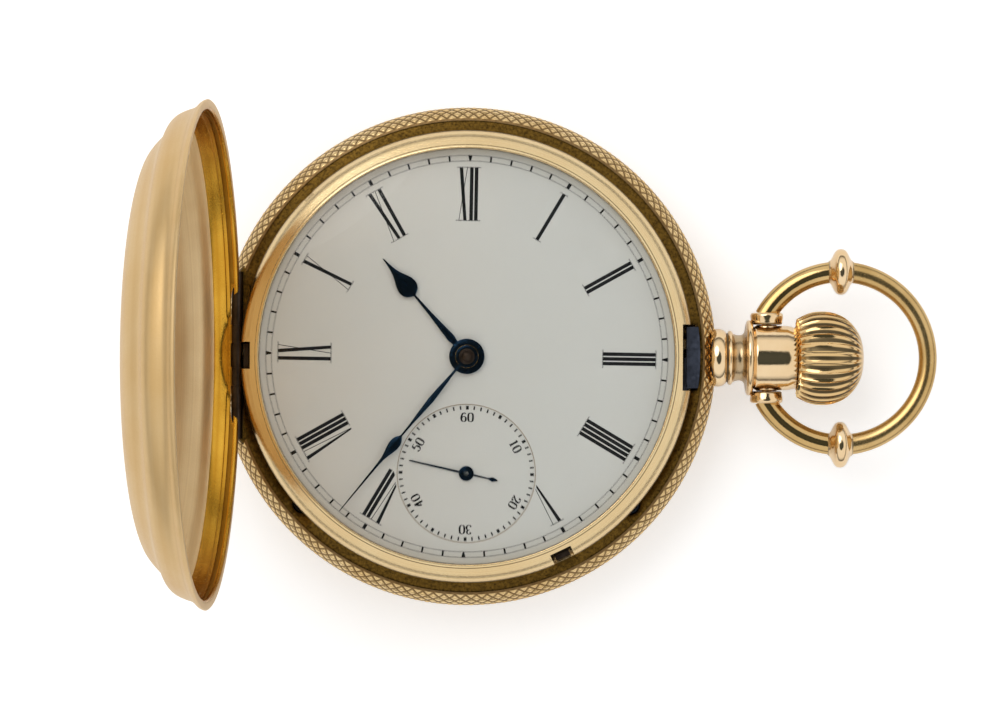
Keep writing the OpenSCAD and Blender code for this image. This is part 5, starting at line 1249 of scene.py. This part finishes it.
SMOOTHED = {
    "pillar_plate": "nickel", "top_plate": "nickel", "balance_cock": "nickel",
    "pillars": "nickel", "mainspring_barrel": "brass", "barrel_cover": "brass",
    "centre_wheel": "brass", "third_wheel": "brass", "fourth_wheel": "brass",
    "escape_wheel": "brass", "balance_wheel": "brass", "balance_screws": "brass",
    "plate_screws": "blued", "cock_screw": "blued", "case_screws": "blued",
    "spring_screws": "blued", "regulator": "steel", "winding_stem": "steel",
    "front_hinge_pin": "old_steel", "back_hinge_pin": "old_steel",
    "cannon_pinion": "old_steel", "centre_pinion": "old_steel",
}
PLAIN = {
    "jewels": "ruby", "hairspring": "blued", "cuvette_hinge_pin": "steel", "bow_studs": "blued",
    "winding_pinion": "steel", "crown_wheel": "steel", "transfer_wheel": "steel",
    "ratchet_wheel": "steel", "barrel_arbor": "steel", "mainspring": "blued",
    "minute_wheel": "brass", "hour_wheel": "brass", "third_pinion": "steel",
    "fourth_pinion": "steel", "escape_pinion": "steel", "pallet_lever": "steel",
    "balance_staff": "steel", "setting_lever": "old_steel", "lock_spring": "spring",
    "lift_spring": "old_steel", "click": "steel", "click_spring": "steel",
}


class WATCH_OT_works(bpy.types.Operator):
    """Movement, springs, pins and screws in their own metals"""
    bl_idname = "watch.works"
    bl_label = "Movement and hinges"

    def execute(self, context):
        coat = coats()
        slots = {s["node"]: s["material_slot"] for s in frame["record"]["subparts"]}
        for node, word in SMOOTHED.items():
            smooth_copy(f"{node}_finished", node, [coat[word]], NODES[node]["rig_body"],
                        slots[node])
        for node, word in PLAIN.items():
            recoat(node, coat[word])
        return {"FINISHED"}


class WATCH_OT_studio(bpy.types.Operator):
    """Pale table, soft light and the camera straight above"""
    bl_idname = "watch.studio"
    bl_label = "Studio"

    def execute(self, context):
        studio = Measures(context.scene.watch_studio)
        scene = context.scene
        scene.view_settings.view_transform = "Standard"
        table = placed("table", mesh_of("table", *net(turned([(0, 0), (1500, 0)], 48))))
        table.data.materials.append(self.table_coat(tuple(studio.floor)))
        table.data.update()
        self.sky(scene, studio.sky)
        lamp = bpy.data.lights.new("soft_lamp", "AREA")
        lamp.shape, lamp.size, lamp.energy = "DISK", 0.55, studio.lamp
        lit = placed("soft_lamp", lamp)
        lit.location = (-0.25, 0.32, 0.62)
        lit.rotation_euler = lit.location.to_track_quat("Z", "Y").to_euler()
        view = bpy.data.cameras.new("view")
        view.lens, view.sensor_width, view.clip_start = studio.lens, 36, 0.01
        camera = placed("view", view)
        camera.location = (3.562 * MM, -0.315 * MM, studio.camera_z * MM)
        camera.rotation_euler = (0, 0, radians(0.3))
        scene.camera = camera
        return {"FINISHED"}

    def table_coat(self, colour):
        """Pale paper table, matte, that shows white in the view, in reflections and through glass
        while it keeps the watch's soft shadow. Its fibre is 0.4 mm."""
        coat, tree, shader, place = start_coat("table_paper", Roughness=0.9,
                                               **{"Emission Color": linear("#FFFFFF")})
        fibre = add(tree, "TexNoise", {"Vector": place, "Scale": 1 / (0.4 * MM)})
        join(tree, shader, add(tree, "Mix", {"Factor": fibre, "A": colour,
                                             "B": darker(colour, 0.98)}, "Result",
                               data_type="RGBA"))
        seen, mirrored = self.rays(tree)
        glow = add(tree, "Math", (mirrored, 0.18), operation="MULTIPLY")
        level = add(tree, "Math", (seen, 0.36, glow), operation="MULTIPLY_ADD")
        tree.links.new(level, shader.inputs["Emission Strength"])
        return coat

    def rays(self, tree):
        """Whether a ray comes from the camera, and whether it comes off a mirror or through
        glass."""
        ray = add(tree, "LightPath").node.outputs
        return ray["Is Camera Ray"], add(tree, "Math", (ray["Is Glossy Ray"],
                                                        ray["Is Transmission Ray"]),
                                         operation="MAXIMUM")

    def sky(self, scene, level):
        """Light from all round: white where the camera looks; in reflections a bright soft tent
        with a dimmer strip near the table and a dim round opening overhead for the camera."""
        world = bpy.data.worlds.new("soft_tent")
        scene.world = world
        world.use_nodes = True
        tree = world.node_tree
        tree.nodes.clear()
        up = add(tree, "SeparateXYZ", (add(tree, "TexCoord", out="Generated"),), "Z")
        tent = add(tree, "ValToRGB", (up,), stops=[
            (0.0, grey(0.30)), (0.10, grey(0.16)), (0.22, grey(0.62)), (0.40, grey(1.0)),
            (0.885, grey(1.0)), (0.915, (0.05, 0.06, 0.055)), (1.0, (0.08, 0.09, 0.085))])
        seen, mirrored = self.rays(tree)
        unseen = add(tree, "Mix", {"Factor": mirrored, "A": grey(level), "B": tent}, "Result",
                     data_type="RGBA")
        shown = add(tree, "Mix", {"Factor": seen, "A": unseen, "B": grey(1.0)}, "Result",
                    data_type="RGBA")
        sky = add(tree, "Background", {"Color": shown, "Strength": 1.0})
        add(tree, "OutputWorld", {"Surface": sky})


class WATCH_PT_panel(bpy.types.Panel):
    """The watch's pieces and sizes"""
    bl_label = "Pocket watch"
    bl_space_type = "VIEW_3D"
    bl_region_type = "UI"
    bl_category = "Watch"

    def draw(self, context):
        for kind in OPERATORS:
            self.layout.operator(kind.bl_idname)
        for key, group in GROUPS.items():
            box = self.layout.box()
            box.label(text=key.replace("_", " "))
            for word in group.__annotations__:
                box.prop(getattr(context.scene, key), word)


OPERATORS = (WATCH_OT_case_band, WATCH_OT_covers, WATCH_OT_bezel, WATCH_OT_pendant, WATCH_OT_bow,
             WATCH_OT_crown, WATCH_OT_dial, WATCH_OT_hands, WATCH_OT_works, WATCH_OT_studio)


def register():
    for kind in (*GROUPS.values(), *OPERATORS, WATCH_PT_panel):
        bpy.utils.register_class(kind)
    for key, group in GROUPS.items():
        setattr(bpy.types.Scene, key, bpy.props.PointerProperty(type=group))


def unregister():
    for key in GROUPS:
        delattr(bpy.types.Scene, key)
    for kind in (WATCH_PT_panel, *OPERATORS, *GROUPS.values()):
        bpy.utils.unregister_class(kind)


def main():
    """Registers the add-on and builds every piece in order."""
    register()
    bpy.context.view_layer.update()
    for kind in OPERATORS:
        group, word = kind.bl_idname.split(".")
        getattr(getattr(bpy.ops, group), word)()
    bpy.context.view_layer.update()


if __name__ == "__main__":
    main()
